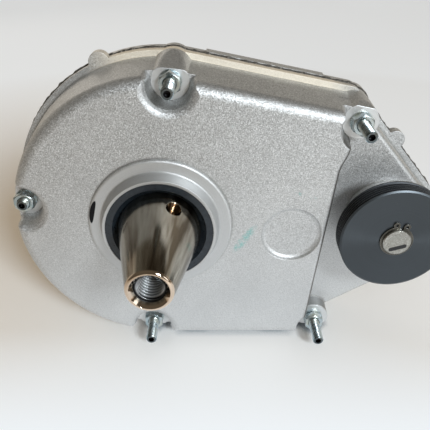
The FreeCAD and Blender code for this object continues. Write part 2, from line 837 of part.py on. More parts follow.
def make_wheel(axis, y, face, gear, phase, web_radii, hub_y, hub_end_y, bore, spigot):
    """Toothed rim, web and hub; the spigot is the radius that touches the bearing in front."""
    module, teeth, shift = gear
    rim_inner, hub_radius = web_radii
    rim = gear_face(axis, y, module, teeth, shift, phase).extrude(V(0, face, 0))
    rim = rim.cut(rod(axis, y - 1, y + face + 1, rim_inner))
    web_y = y + face * web_inset
    path = [
        (bore, hub_y),
        (spigot, hub_y),
        (spigot, hub_y + spigot_height),
        (hub_radius, hub_y + spigot_height),
        (hub_radius, web_y),
        (rim_inner, web_y),
        (rim_inner, y + face - (web_y - y)),
        (hub_radius, y + face - (web_y - y)),
        (hub_radius, hub_end_y),
        (bore, hub_end_y),
    ]
    return rim.fuse(lathe(axis, path)).removeSplitter()


def key_box(axis, y0, y1, seat_at, width, height):
    """Parallel key on top of a shaft seat, a little less than half of it above the seat."""
    low = axis[1] + seat_at - 0.58 * height
    return box(axis[0] - width / 2, axis[0] + width / 2, y0, y1, low, low + height)


def make_clip(axis, y, shaft, groove):
    """Outside retaining ring with two pierced ears, open near the top."""
    outer = shaft + clip_width
    ring = pipe(axis, y, y + clip_thickness, outer, groove)
    x0, x1 = axis[0] - clip_gap_half, axis[0] + clip_gap_half
    gap = box(x0, x1, y - 1, y + clip_thickness + 1, axis[1], axis[1] + outer + 3 * clip_ear_radius)
    ears = []
    holes = []
    for side in (-1, 1):
        place = (axis[0] + side * (clip_gap_half + clip_ear_radius), axis[1] + shaft + clip_ear_radius)
        ears.append(rod(place, y, y + clip_thickness, clip_ear_radius))
        holes.append(rod(place, y - 1, y + clip_thickness + 1, clip_ear_hole))
    clip = fuse_all([ring] + ears)
    clip = clip.cut(rod(axis, y - 1, y + clip_thickness + 1, groove))
    for cut in [gap] + holes:
        clip = clip.cut(cut)
    clip.rotate(at(axis, y), V(0, 1, 0), clip_turn)
    return clip


def plain_clip(axis, y, groove, outer):
    x0, x1 = axis[0] - inner_clip_width, axis[0] + inner_clip_width
    ring = pipe(axis, y, y + clip_thickness, outer, groove)
    return ring.cut(box(x0, x1, y - 1, y + clip_thickness + 1, axis[1], axis[1] + outer + 1))


def make_output_shaft(key):
    front, rear = output_front_bearing, output_rear_bearing
    slope = (collar_radius - tip_radius) / (taper_base_y - tip_y)
    mouth_radius = tip_radius - 1.2 * tip_round
    mouth_y = tip_y + (mouth_radius - thread_radius) * mouth_slope
    round_end = tip_y + tip_round
    clip_y = output_rear_y + rear[2]
    groove = rear[0] / 2 - inner_clip_groove
    shaft = lathe(output_axis, [
        (0.0, tip_y + thread_depth),
        (thread_radius, tip_y + thread_depth - thread_point),
        (thread_radius, mouth_y),
        (mouth_radius, tip_y),
        (tip_radius - tip_round * 0.3, tip_y + tip_round * 0.3, tip_radius + slope * tip_round, round_end),
        (collar_radius, taper_base_y),
        (collar_radius, output_front_y),
        (front[0] / 2, output_front_y),
        (front[0] / 2, output_front_y + front[2]),
        (wheel_seat_radius, output_front_y + front[2]),
        (wheel_seat_radius, wheel_hub_end_y),
        (rear[0] / 2, wheel_hub_end_y),
        (rear[0] / 2, clip_y),
        (groove, clip_y),
        (groove, clip_y + clip_thickness),
        (rear[0] / 2, clip_y + clip_thickness),
        (rear[0] / 2, output_end_y - shaft_chamfer),
        (rear[0] / 2 - shaft_chamfer, output_end_y),
        (0.0, output_end_y),
    ])
    surface = tip_radius + slope * (dimple_y - tip_y)
    out = V(math.cos(dimple_angle), 0, math.sin(dimple_angle))
    start = V(0, dimple_y, 0) + out * (surface - dimple_depth)
    dimple = Part.makeCone(dimple_radius * 0.35, dimple_radius * 1.25, dimple_depth * 1.3, start, out)
    return shaft.cut(dimple).cut(key)


def make_intermediate_shaft(phase, key):
    bearing = intermediate_bearing
    journal = bearing[0] / 2
    front_end = intermediate_front_y + bearing[2]
    rear_end = intermediate_rear_y + bearing[2]
    pinion_y = slow_wheel_y - pinion_overlap
    pinion_end = slow_wheel_y + slow_face + pinion_overlap
    clip_y = intermediate_hub_end_y
    seat_at = intermediate_seat_radius
    groove = seat_at - inner_clip_groove
    shaft = lathe(intermediate_axis, [
        (0.0, intermediate_front_y - boss_proud),
        (journal, intermediate_front_y - boss_proud),
        (journal, front_end),
        (seat_at, front_end),
        (seat_at, pinion_end),
        (seat_at + intermediate_shoulder, pinion_end),
        (seat_at + intermediate_shoulder, intermediate_hub_y),
        (seat_at, intermediate_hub_y),
        (seat_at, clip_y),
        (groove, clip_y),
        (groove, clip_y + clip_thickness),
        (seat_at, clip_y + clip_thickness),
        (seat_at, intermediate_rear_y),
        (journal, intermediate_rear_y),
        (journal, rear_end + boss_proud),
        (0.0, rear_end + boss_proud),
    ])
    teeth = gear_face(intermediate_axis, pinion_y, slow_module, slow_pinion_teeth, slow_shift, phase)
    return shaft.fuse(teeth.extrude(V(0, pinion_end - pinion_y, 0))).cut(key)


def make_input_shaft(phase, key):
    front, rear = input_front_bearing, input_rear_bearing
    end_y = pulley_front_y - shaft_stickout
    front_end = input_front_y + front[2]
    rear_end = input_rear_y + rear[2]
    pinion_y = fast_wheel_y - pinion_overlap
    pinion_end = fast_wheel_y + fast_face + pinion_overlap
    core = gear_radii(fast_module, fast_pinion_teeth, fast_shift)[0] - boss_proud
    groove = pulley_bore_radius - clip_groove
    shaft = lathe(input_axis, [
        (0.0, end_y),
        (pulley_bore_radius - shaft_chamfer, end_y),
        (pulley_bore_radius, end_y + shaft_chamfer),
        (pulley_bore_radius, pulley_front_y - clip_thickness),
        (groove, pulley_front_y - clip_thickness),
        (groove, pulley_front_y),
        (pulley_bore_radius, pulley_front_y),
        (pulley_bore_radius, pulley_back_y),
        (front[0] / 2, pulley_back_y),
        (front[0] / 2, front_end),
        (front[0] / 2 + shaft_collar, front_end),
        (front[0] / 2 + shaft_collar, front_end + shaft_collar_width),
        (core, front_end + shaft_collar_width),
        (core, input_rear_y),
        (rear[0] / 2, input_rear_y),
        (rear[0] / 2, rear_end + boss_proud),
        (0.0, rear_end + boss_proud),
    ])
    teeth = gear_face(input_axis, pinion_y, fast_module, fast_pinion_teeth, fast_shift, phase)
    return shaft.fuse(teeth.extrude(V(0, pinion_end - pinion_y, 0))).cut(key)


def make_pulley(key):
    web_back_y = pulley_front_y + pulley_web
    rim_inner = pulley_radius - pulley_rim_wall
    hub_radius = pulley_bore_radius + pulley_hub_wall
    path = [
        (pulley_bore_radius, pulley_front_y),
        (pulley_radius - pulley_bevel, pulley_front_y),
        (pulley_radius, pulley_front_y + pulley_bevel_depth),
        (pulley_radius, pulley_front_y + pulley_edge),
    ]
    for k in range(pulley_rib_count):
        y = pulley_front_y + pulley_edge + k * pulley_rib_pitch
        path.append((pulley_radius - pulley_rib_depth, y + 0.42 * pulley_rib_pitch))
        path.append((pulley_radius - pulley_rib_depth, y + 0.58 * pulley_rib_pitch))
        path.append((pulley_radius, y + pulley_rib_pitch * (0.92 if k < pulley_rib_count - 1 else 1.0)))
        if k < pulley_rib_count - 1:
            path.append((pulley_radius, y + pulley_rib_pitch * 1.04))
    path += [
        (pulley_radius, pulley_rim_back_y),
        (rim_inner, pulley_rim_back_y),
        (rim_inner, web_back_y),
        (hub_radius, web_back_y),
        (hub_radius, pulley_back_y),
        (pulley_bore_radius, pulley_back_y),
    ]
    return lathe(input_axis, path).cut(key)


nodes = {}

# Case and its fasteners
nodes["front_cover"] = make_front_cover()
nodes["case_gasket"] = make_gasket(nodes["front_cover"])
nodes["rear_cover"] = make_rear_cover()
for number, stud in enumerate(studs):
    tip = short_bolt_tip_y if number == short_stud else bolt_tip_y
    washer_y = seat_depth - washer_thickness
    nut_y = washer_y - nut_height
    nodes["case_bolt_%d" % (number + 1)] = make_bolt(stud, tip, nut_y)
    nodes["case_washer_%d" % (number + 1)] = pipe(
        stud, washer_y, seat_depth, washer_radius, bolt_radius + washer_clearance)
    nodes["case_nut_%d" % (number + 1)] = make_nut(stud, nut_y)
for number, place in enumerate(dowel_places):
    y = case_depth - dowel_length / 2
    nodes["dowel_pin_%d" % (number + 1)] = rod(place, y, y + dowel_length, dowel_radius)

# Bearings and seals
for name, axis, bearing, y in (
    ("output_front", output_axis, output_front_bearing, output_front_y),
    ("output_rear", output_axis, output_rear_bearing, output_rear_y),
    ("intermediate_front", intermediate_axis, intermediate_bearing, intermediate_front_y),
    ("intermediate_rear", intermediate_axis, intermediate_bearing, intermediate_rear_y),
    ("input_front", input_axis, input_front_bearing, input_front_y),
    ("input_rear", input_axis, input_rear_bearing, input_rear_y),
):
    outer, inner = make_bearing(axis, bearing, y)
    nodes[name + "_outer_ring"] = outer
    nodes[name + "_inner_ring"] = inner
nodes["output_oil_seal"] = make_seal(
    output_axis, hub_rim_y + seal_recess, output_seal_width, output_seal_radius, collar_radius)
nodes["input_oil_seal"] = make_seal(
    input_axis, input_boss_y + seal_recess, input_seal_width, input_seal_radius, input_front_bearing[0] / 2)

# Output shaft group
slow_wheel_gear = (slow_module, slow_wheel_teeth, -slow_shift)
slow_wheel_root = gear_radii(*slow_wheel_gear)[0]
slow_angle = mesh_angle(output_axis, intermediate_axis)
output_key = key_box(
    output_axis, slow_wheel_y + key_inset, slow_wheel_y + slow_face - key_inset, wheel_seat_radius,
    output_key_width, output_key_height)
output_wheel = make_wheel(
    output_axis, slow_wheel_y, slow_face, slow_wheel_gear, slow_angle,
    (slow_wheel_root - wheel_rim_wall, wheel_seat_radius + wheel_hub_wall),
    output_front_y + output_front_bearing[2], wheel_hub_end_y,
    wheel_seat_radius, wheel_seat_radius + wheel_spigot_wall)
nodes["output_shaft"] = make_output_shaft(output_key)
nodes["output_wheel"] = output_wheel.cut(output_key)
nodes["output_key"] = output_key
output_journal = output_rear_bearing[0] / 2
nodes["output_spacer"] = pipe(
    output_axis, wheel_hub_end_y, output_rear_y, output_journal + spacer_wall, output_journal)
nodes["output_clip"] = plain_clip(
    output_axis, output_rear_y + output_rear_bearing[2], output_journal - inner_clip_groove,
    output_journal + inner_clip_width)

# Intermediate shaft group
fast_wheel_gear = (fast_module, fast_wheel_teeth, -fast_shift)
fast_wheel_root = gear_radii(*fast_wheel_gear)[0]
fast_angle = mesh_angle(intermediate_axis, input_axis)
intermediate_key = key_box(
    intermediate_axis, intermediate_hub_y + key_inset, intermediate_hub_end_y - key_inset,
    intermediate_seat_radius, intermediate_key_width, intermediate_key_height)
intermediate_wheel = make_wheel(
    intermediate_axis, fast_wheel_y, fast_face, fast_wheel_gear, fast_angle,
    (fast_wheel_root - intermediate_rim_wall, intermediate_seat_radius + intermediate_hub_wall),
    intermediate_hub_y, intermediate_hub_end_y,
    intermediate_seat_radius, intermediate_seat_radius + intermediate_spigot_wall)
nodes["intermediate_shaft"] = make_intermediate_shaft(
    slow_angle + math.pi + math.pi / slow_pinion_teeth, intermediate_key)
nodes["intermediate_wheel"] = intermediate_wheel.cut(intermediate_key)
nodes["intermediate_key"] = intermediate_key
nodes["intermediate_clip"] = plain_clip(
    intermediate_axis, intermediate_hub_end_y, intermediate_seat_radius - inner_clip_groove,
    intermediate_seat_radius + inner_clip_width)

# Input shaft group
pulley_key = key_box(
    input_axis, pulley_front_y + pulley_key_inset, pulley_back_y, pulley_bore_radius,
    pulley_key_width, pulley_key_height)
nodes["input_shaft"] = make_input_shaft(fast_angle + math.pi + math.pi / fast_pinion_teeth, pulley_key)
nodes["drive_pulley"] = make_pulley(pulley_key)
nodes["pulley_key"] = pulley_key
nodes["pulley_clip"] = make_clip(
    input_axis, pulley_front_y - clip_thickness, pulley_bore_radius, pulley_bore_radius - clip_groove)

for name, shape in nodes.items():
    shape.exportStep("parts/%s.step" % name)
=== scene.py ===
"""Looks of the mixer gear reducer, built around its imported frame. Lengths are metres."""
import json
import math

import bpy
from mathutils import Euler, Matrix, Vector


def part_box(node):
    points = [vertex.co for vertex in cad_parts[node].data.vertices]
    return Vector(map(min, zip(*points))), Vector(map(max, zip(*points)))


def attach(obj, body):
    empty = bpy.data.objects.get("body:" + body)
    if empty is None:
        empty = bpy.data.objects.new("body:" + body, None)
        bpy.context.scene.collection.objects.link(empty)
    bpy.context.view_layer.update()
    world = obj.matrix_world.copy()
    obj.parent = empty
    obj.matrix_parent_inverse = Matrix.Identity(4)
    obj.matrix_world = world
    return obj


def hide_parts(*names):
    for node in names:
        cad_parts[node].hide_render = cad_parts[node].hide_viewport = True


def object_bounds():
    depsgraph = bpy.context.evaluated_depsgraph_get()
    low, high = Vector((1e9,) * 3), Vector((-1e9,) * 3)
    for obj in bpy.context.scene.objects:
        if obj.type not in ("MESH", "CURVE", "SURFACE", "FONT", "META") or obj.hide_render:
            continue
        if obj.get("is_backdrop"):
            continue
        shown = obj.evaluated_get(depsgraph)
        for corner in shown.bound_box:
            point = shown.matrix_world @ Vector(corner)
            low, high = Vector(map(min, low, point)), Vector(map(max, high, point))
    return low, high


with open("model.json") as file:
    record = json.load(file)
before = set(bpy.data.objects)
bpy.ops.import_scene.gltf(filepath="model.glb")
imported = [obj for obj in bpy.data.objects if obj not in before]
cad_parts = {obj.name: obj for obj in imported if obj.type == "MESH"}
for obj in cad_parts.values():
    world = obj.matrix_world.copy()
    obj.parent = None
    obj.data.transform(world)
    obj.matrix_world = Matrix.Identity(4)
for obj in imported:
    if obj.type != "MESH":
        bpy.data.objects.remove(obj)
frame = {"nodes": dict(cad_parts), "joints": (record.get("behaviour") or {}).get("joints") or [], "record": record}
nodes = frame["nodes"]
cad_low, cad_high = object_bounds()
MM = 0.001

# Axes, mounts and planes read from the frame
axes = {joint["name"]: Vector(joint["pos_m"]) for joint in frame["joints"]}
output_axis = axes["output_spin"]
input_axis = axes["input_spin"]
mounts = {mount["name"]: mount for mount in frame["record"]["mounts"]}
tip_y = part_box("output_shaft")[0].y
shaft_end_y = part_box("input_shaft")[0].y
pulley_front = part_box("drive_pulley")[0].y
gasket_low, gasket_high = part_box("case_gasket")
floor_z = cad_low.z

# Camera
camera_place = (0.03641, -0.30818, 0.18574)
camera_pitch = math.radians(59.91)
camera_yaw = math.radians(-0.1)
camera_lens = 44.24
camera_sensor = 36.0
camera_near, camera_far = 0.01, 50.0

# Lamps, all aimed at one point: name, place, size, watts, tint and beam
lamp_target = Vector((0.04, 0.0, 0.0))
lamps = (
    ("flash", (0.78, -1.40, 0.88), 0.40, 8.5, (0.88, 0.95, 1.0), math.radians(100)),
    ("window", (1.10, -0.80, 0.35), 0.50, 1.5, (0.90, 0.96, 1.0), math.pi),
    ("rear_fill", (-0.6, 1.2, 0.60), 0.8, 1.5, (1.0, 0.95, 0.88), math.pi),
)

# Surroundings: the room's light, what metal mirrors of the room and of a low pale screen, the backdrop
ambient_tint, ambient_strength = (1.0, 0.74, 0.44), 0.32
room_tint = (0.11, 0.098, 0.078)
screen_tint = (0.86, 0.80, 0.70)
screen_behind = (-0.1, 0.4)
screen_top = (0.28, 0.50)
backdrop_tint = (0.80, 0.82, 0.84)

# White table: shares of a plain glow that the camera sees and that metal mirrors, by ranges of place; this glow is
# painted light on the table, brighter in front, to the right and far off than round the object, and mirrored most
# just in front, less far off, behind and at the left
floor_half = 6.0
glow_tint = (0.89, 0.94, 0.98)
glow_near, glow_far = 0.04, 0.60
glow_range = (0.30, 0.85)
glow_front, glow_front_range = 0.82, (0.02, -0.08)
glow_right, glow_right_range = 0.55, (0.13, 0.30)
mirror_far, mirror_near = 0.0, 1.0
mirror_range = (-0.38, -0.08)
mirror_behind, mirror_behind_range = 0.1, (-0.02, 0.03)
mirror_left, mirror_left_range = 0.2, (-0.20, 0.0)
# Painted contact shadow on the table round the object's foot: its reach and its most
contact_reach = 7.5 * MM
contact_most = 0.9

# Blasted casting: its grain is crisper above, where its bright and dark cells are partly painted sparkle of light;
# it gets painted shade in its creases, and its tone is slightly darker above and lighter below as painted shade
# and painted light
facet_lean = 0.25
# Painted shade in the casting's creases: its reach and its most
crease_reach = 2.5 * MM
crease_most = 0.65
crisp_range = (-60.0 * MM, 50.0 * MM)
crisp_least = 0.30
upper_range = (10.0 * MM, 80.0 * MM)
painted_shade_above_share = 0.15
lower_range = (0.0, -90.0 * MM)
painted_light_below_share = 0.25

# Top stretch of the flange, from its front face to the joint, where warm light is painted
flange_depth = (42.8 * MM, gasket_low.y)
flange_depth_soft = 0.15 * MM
flange_across = (-38.0 * MM, 126.0 * MM)
flange_across_soft = 12.0 * MM

# Painted shade: a dark line along the edge of the step to the input end, which runs through two (x, z) points
step_low = (104.5 * MM, -97.0 * MM)
step_high = (119.9 * MM, 59.3 * MM)
step_across = (-2.6 * MM, 8.0 * MM)
step_soft = 0.1 * MM
step_rise = (0.30 * MM, 0.80 * MM)
step_fall = (2.5 * MM, 9.0 * MM)
step_share = 0.8

# Painted shade on the dark side of the lower right bolt column
column_radius = 17.0 * MM
column_depth = (16.5 * MM, 26.0 * MM)
column_soft = 0.5 * MM
column_share = 0.7

# Turned hub and its base, and the spot faces round the studs
hub_rim = (47.0 * MM, 48.0 * MM)
hub_share, base_share = 0.9, 0.35
hub_depth = (-0.4 * MM, -1.2 * MM)
spot_face_radius = 11.9 * MM
spot_face_depth = (15.2 * MM, 15.8 * MM)
spot_face_soft = 0.1 * MM

# Witness dash on the hub
hub_dash_radius, hub_dash_half = 46.3 * MM, 1.9 * MM
hub_dash_angle, hub_dash_half_angle = 2.90, 0.21
hub_dash_depth = 4.0 * MM

# Patches of marking dye on the flat front: centre, lean, half sizes and limits of the broken cover
front_depth = 1.0 * MM
dye_patches = (
    ((57.5 * MM, 0.0, -12.0 * MM), 0.95, (14.5 * MM, 3.6 * MM), (0.40, 0.66)),
    ((96.5 * MM, 0.0, 22.2 * MM), -0.30, (11.0 * MM, 1.6 * MM), (0.56, 0.66)),
    ((49.0 * MM, 0.0, 70.0 * MM), 0.30, (3.0 * MM, 1.2 * MM), (0.52, 0.66)),
)

# Witness dash on the input shaft's end
dash_centre = (0.8 * MM, 0.0, -4.0 * MM)
dash_lean = 0.30
dash_half = 6.2 * MM
dash_round = 1.6 * MM
dash_depth = 0.2 * MM

# Taper just under its surface, the drilled dimple in it, its tip ring and its bore
taper_start, taper_end = -74.2 * MM, -11.5 * MM
taper_low, taper_high = 13.6 * MM, 27.2 * MM
dimple_place = (11.2 * MM, -20.5 * MM, 22.96 * MM)
dimple_reach = 7.0 * MM
tip_ring = (2.2 * MM, 1.2 * MM)
bore_radius = 9.5 * MM

# Depth from the pulley's front over which its face passes into the ribs, which are painted darker as shade
rib_start = (0.9 * MM, 1.6 * MM)

# Sealant squeezed out of the joint; it swells, sinks and sways along waves of the given lengths
bead_step = 1.1 * MM
bead_radius = 1.0 * MM
bead_inset = 0.55 * MM
bead_sides = 8
bead_swell, swell_waves = 0.30, (13.3 * MM, 7.1 * MM, 4.7 * MM)
bead_sink, sink_waves = 0.5, (17.0 * MM, 8.3 * MM)
bead_sway, sway_waves = 0.30 * MM, (12.1 * MM, 6.7 * MM)
wave_phase = 9e4
edge_tolerance = 0.01 * MM

# Bolts and their threads
bolt_numbers = range(1, 6)
stud_pitch = 1.25 * MM
stud_depth = 0.77 * MM
stud_crest = 3.97 * MM
stud_chamfer = 0.8 * MM
stud_free_end = 20.0 * MM
stud_dimple_radius = 2.1 * MM
stud_dimple_depth = 4.0 * MM
stud_dimple_point = 1.0 * MM
stud_dimple_margin = 0.05 * MM
thread_root, thread_crest = 0.25, 0.125
thread_runout = 0.1 * MM
shank_radius = 3.98 * MM
head_flat_radius = 6.5 * MM
head_height = 5.3 * MM
head_chamfer = 0.55 * MM
head_face_share = 0.95

# Internal thread of the shaft tip
socket_pitch = 2.5 * MM
socket_major = 9.0 * MM
socket_minor = 7.65 * MM
socket_overlap = 0.03 * MM
socket_margin = 0.15
socket_least_rise = 0.04

# Fineness of meshes and shaders
ring_points = 48
rows_per_turn = 12
socket_sections = 60
sharp_angle = math.radians(35)
bevel_samples = 6
crease_samples = 8

# Factors that keep X and Z of a vector and drop Y
ACROSS_Y = (1.0, 0.0, 1.0)


def stud_axis(number):
    """Middle of a bolt, seen along Y."""
    low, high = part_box("case_bolt_%d" % number)
    return Vector(((low.x + high.x) / 2, 0.0, (low.z + high.z) / 2))


# Shader helpers
def put(tree, kind, inputs=None, **settings):
    """Adds a node; inputs maps socket names or numbers to values or to sockets of other nodes."""
    node = tree.nodes.new("ShaderNode" + kind)
    for name, value in settings.items():
        setattr(node, name, value)
    for name, value in (inputs or {}).items():
        if isinstance(value, bpy.types.NodeSocket):
            tree.links.new(value, node.inputs[name])
        else:
            node.inputs[name].default_value = value
    return node


def new_material(name):
    """Material, its tree, its shader, and a point's place, which is in the frame for every CAD node."""
    material = bpy.data.materials.new(name)
    material.use_nodes = True
    tree = material.node_tree
    shader = tree.nodes["Principled BSDF"]
    place = put(tree, "TexCoord").outputs["Object"]
    return material, tree, shader, place


def feed(tree, shader, **inputs):
    """Sets a shader's inputs; an underscore in a name stands for a space."""
    for name, value in inputs.items():
        socket = shader.inputs[name.replace("_", " ")]
        if isinstance(value, bpy.types.NodeSocket):
            tree.links.new(value, socket)
        else:
            socket.default_value = value


def colour(r, g, b):
    return (r, g, b, 1.0)


def noise(tree, place, scale, detail=3.0, roughness=0.55):
    inputs = {"Vector": place, "Scale": scale, "Detail": detail, "Roughness": roughness}
    return put(tree, "TexNoise", inputs).outputs["Fac"]


def ramp(tree, value, *stops):
    """Colour ramp from (position, colour) stops."""
    node = put(tree, "ValToRGB", {"Fac": value})
    elements = node.color_ramp.elements
    while len(elements) < len(stops):
        elements.new(0.5)
    for element, (position, shade) in zip(elements, stops):
        element.position = position
        element.color = shade
    return node.outputs["Color"]


def spread(tree, value, low, high, to_low, to_high):
    """Carries a range over to another one, and holds its ends outside it."""
    inputs = {"Value": value, "From Min": low, "From Max": high, "To Min": to_low, "To Max": to_high}
    return put(tree, "MapRange", inputs).outputs["Result"]


def math_of(tree, operation, a, b=0.0):
    return put(tree, "Math", {0: a, 1: b}, operation=operation).outputs[0]


def times(tree, first, *others):
    """Product of two or more values."""
    for other in others:
        first = math_of(tree, "MULTIPLY", first, other)
    return first


def vector_of(tree, operation, a, b=(0.0, 0.0, 0.0)):
    """Vector that a vector operation gives."""
    return put(tree, "VectorMath", {0: a, 1: b}, operation=operation).outputs[0]


def value_of(tree, operation, a, b=(0.0, 0.0, 0.0)):
    """Number that a vector operation gives."""
    return put(tree, "VectorMath", {0: a, 1: b}, operation=operation).outputs["Value"]


def parts_of(tree, vector):
    """X, Y and Z of a vector."""
    outputs = put(tree, "SeparateXYZ", {0: vector}).outputs
    return outputs["X"], outputs["Y"], outputs["Z"]


def pair(tree, x, y):
    """Vector from two values."""
    return put(tree, "CombineXYZ", {"X": x, "Y": y}).outputs[0]


def blend_colours(tree, factor, a, b):
    return put(tree, "Mix", {0: factor, 6: a, 7: b}, data_type="RGBA").outputs[2]


def blend_values(tree, factor, a, b):
    return put(tree, "Mix", {0: factor, 2: a, 3: b}, data_type="FLOAT").outputs[0]


def mix_shaders(tree, factor, a, b):
    return put(tree, "MixShader", {0: factor, 1: a.outputs[0], 2: b.outputs[0]})


def polar(tree, place, axis):
    """Radius round an axis along Y, depth along it, and place from its foot."""
    local = vector_of(tree, "SUBTRACT", place, tuple(axis))
    radius = value_of(tree, "LENGTH", vector_of(tree, "MULTIPLY", local, ACROSS_Y))
    _, depth, _ = parts_of(tree, local)
    return radius, depth, local


def around(tree, local):
    """Tangent that runs round an axis along Y."""
    return vector_of(tree, "CROSS_PRODUCT", local, (0.0, 1.0, 0.0))


def between(tree, value, low, high, soft):
    """1 inside a range, fading to 0 over a soft edge."""
    rise = spread(tree, value, low - soft, low + soft, 0.0, 1.0)
    fall = spread(tree, value, high - soft, high + soft, 1.0, 0.0)
    return times(tree, rise, fall)


def soft_edges(tree, radius):
    """Rounded normal at edges, and a mask that is 1 where it differs from the flat one."""
    bevel = put(tree, "Bevel", {"Radius": radius}, samples=bevel_samples).outputs["Normal"]
    flat = put(tree, "NewGeometry").outputs["Normal"]
    same = value_of(tree, "DOT_PRODUCT", bevel, flat)
    return bevel, spread(tree, same, 0.99, 0.80, 0.0, 1.0)


def creases(tree, reach, most):
    """Painted shade from ambient occlusion: rises to its most in the foot of a step or corner, 0 in the open."""
    occlusion = put(tree, "AmbientOcclusion", {"Distance": reach}, samples=crease_samples)
    return spread(tree, occlusion.outputs["AO"], 0.85, 0.50, 0.0, most)


def bump(tree, height, distance, normal=None, strength=1.0):
    inputs = {"Height": height, "Distance": distance, "Strength": strength}
    if normal is not None:
        inputs["Normal"] = normal
    return put(tree, "Bump", inputs).outputs["Normal"]


# Finishes, one for each material slot of the record
def cast_aluminium():
    """Blasted casting with a turned hub, bright spot faces and marks, with painted shade in creases, along the
    step edge, on a bolt column and towards the top, painted light towards the bottom and painted warm light on the
    flange top.
    """
    material, tree, shader, place = new_material("blasted_aluminium")
    normal, edge = soft_edges(tree, radius=0.7 * MM)
    _, _, height = parts_of(tree, place)
    cloud = noise(tree, place, scale=22.0, detail=4.0)
    grain = noise(tree, place, scale=1300.0, detail=3.0, roughness=0.65)
    crystal = put(tree, "TexVoronoi", {"Vector": place, "Scale": 2100.0}).outputs["Color"]
    fleck, _, _ = parts_of(tree, crystal)
    crisp = spread(tree, height, *crisp_range, crisp_least, 1.0)
    skin = ramp(tree, cloud, (0.30, colour(0.56, 0.562, 0.56)), (0.72, colour(0.65, 0.652, 0.648)))
    pits = spread(tree, grain, 0.54, 0.36, 0.0, 0.6)
    skin = blend_colours(tree, pits, skin, colour(0.30, 0.30, 0.298))
    # Bright and dark cells of the casting's own grain, made stronger towards the top as painted sparkle of light
    glint = times(tree, spread(tree, fleck, 0.66, 1.0, 0.0, 0.60), crisp)
    skin = blend_colours(tree, glint, skin, colour(0.90, 0.90, 0.90))
    shade = times(tree, spread(tree, fleck, 0.34, 0.0, 0.0, 0.60), crisp)
    skin = blend_colours(tree, shade, skin, colour(0.28, 0.28, 0.275))
    # Painted shade towards the top and painted light towards the bottom
    upper = spread(tree, height, *upper_range, 0.0, painted_shade_above_share)
    skin = blend_colours(tree, upper, skin, colour(0.30, 0.30, 0.295))
    lower = spread(tree, height, *lower_range, 0.0, painted_light_below_share)
    skin = blend_colours(tree, lower, skin, colour(0.80, 0.805, 0.80))
    worn = times(tree, edge, spread(tree, cloud, 0.35, 0.6, 0.15, 0.6))
    skin = blend_colours(tree, worn, skin, colour(0.80, 0.795, 0.78))
    stain = noise(tree, place, scale=260.0, detail=3.0)
    stain = spread(tree, stain, 0.66, 0.78, 0.0, 0.3)
    skin = blend_colours(tree, stain, skin, colour(0.24, 0.235, 0.225))
    # Painted shade in creases, along the step edge and on the lower right bolt column
    skin = blend_colours(tree, creases(tree, crease_reach, crease_most), skin, colour(0.17, 0.16, 0.14))
    skin = blend_colours(tree, painted_step_shade(tree, place), skin, colour(0.10, 0.095, 0.085))
    skin = blend_colours(tree, painted_column_shade(tree, place), skin, colour(0.16, 0.16, 0.155))

    hub = hub_mask(tree, place)
    faces = spot_face_mask(tree, place)
    lines = turning_lines(tree, place)
    dull = ramp(tree, lines, (0.2, colour(0.50, 0.505, 0.505)), (0.8, colour(0.60, 0.605, 0.605)))
    bright = ramp(tree, lines, (0.2, colour(0.62, 0.625, 0.625)), (0.8, colour(0.72, 0.725, 0.725)))
    skin = blend_colours(tree, hub, skin, dull)
    skin = blend_colours(tree, faces, skin, bright)
    turned = math_of(tree, "MAXIMUM", hub, faces)
    rough = blend_values(tree, turned, spread(tree, grain, 0.25, 0.75, 0.42, 0.62), 0.46)
    skin = marker_marks(tree, place, skin)
    # Painted warm light on the flange top, which is also made less metallic
    painted_light_band = painted_flange_light_mask(tree, place)
    painted_warm_light = ramp(tree, grain, (0.3, colour(0.69, 0.63, 0.53)), (0.7, colour(0.86, 0.80, 0.69)))
    skin = blend_colours(tree, painted_light_band, skin, painted_warm_light)
    metal = spread(tree, painted_light_band, 0.0, 1.0, 0.86, 0.35)

    calm = times(tree, spread(tree, turned, 0.0, 1.0, 1.0, 0.12), crisp)
    normal = bump(tree, times(tree, grain, calm), distance=0.16 * MM, normal=normal, strength=0.8)
    normal = tilt_cells(tree, crystal, calm, normal)
    feed(tree, shader, Base_Color=skin, Roughness=rough, Normal=normal, Metallic=metal)
    return material


def tilt_cells(tree, crystal, share, normal):
    """Leans the normal of each blasted facet its own way."""
    lean = vector_of(tree, "SUBTRACT", crystal, (0.5, 0.5, 0.5))
    amount = times(tree, share, facet_lean)
    lean = put(tree, "VectorMath", {0: lean, "Scale": amount}, operation="SCALE").outputs[0]
    return vector_of(tree, "NORMALIZE", vector_of(tree, "ADD", normal, lean))


def painted_flange_light_mask(tree, place):
    """1 on the top stretch of the front cover's flange, where warm light is painted."""
    x, y, z = parts_of(tree, place)
    depth = between(tree, y, *flange_depth, flange_depth_soft)
    across = between(tree, x, *flange_across, flange_across_soft)
    above = math_of(tree, "GREATER_THAN", z, 0.0)
    return times(tree, depth, across, above)


def painted_step_shade(tree, place):
    """Painted shade: a dark line along the rounded edge of the step to the input end."""
    x, y, z = parts_of(tree, place)
    edge = spread(tree, z, step_low[1], step_high[1], step_low[0], step_high[0])
    near = between(tree, math_of(tree, "SUBTRACT", x, edge), *step_across, step_soft)
    rise = spread(tree, y, *step_rise, 0.0, step_share)
    fall = spread(tree, y, *step_fall, 1.0, 0.0)
    return times(tree, near, rise, fall)


def painted_column_shade(tree, place):
    """Painted shade on the dark side of the lower right bolt column."""
    stud = max((stud_axis(number) for number in bolt_numbers), key=lambda axis: axis.x - axis.z)
    radius, depth, _ = polar(tree, place, stud)
    near = math_of(tree, "LESS_THAN", radius, column_radius)
    return times(tree, near, between(tree, depth, *column_depth, column_soft), column_share)


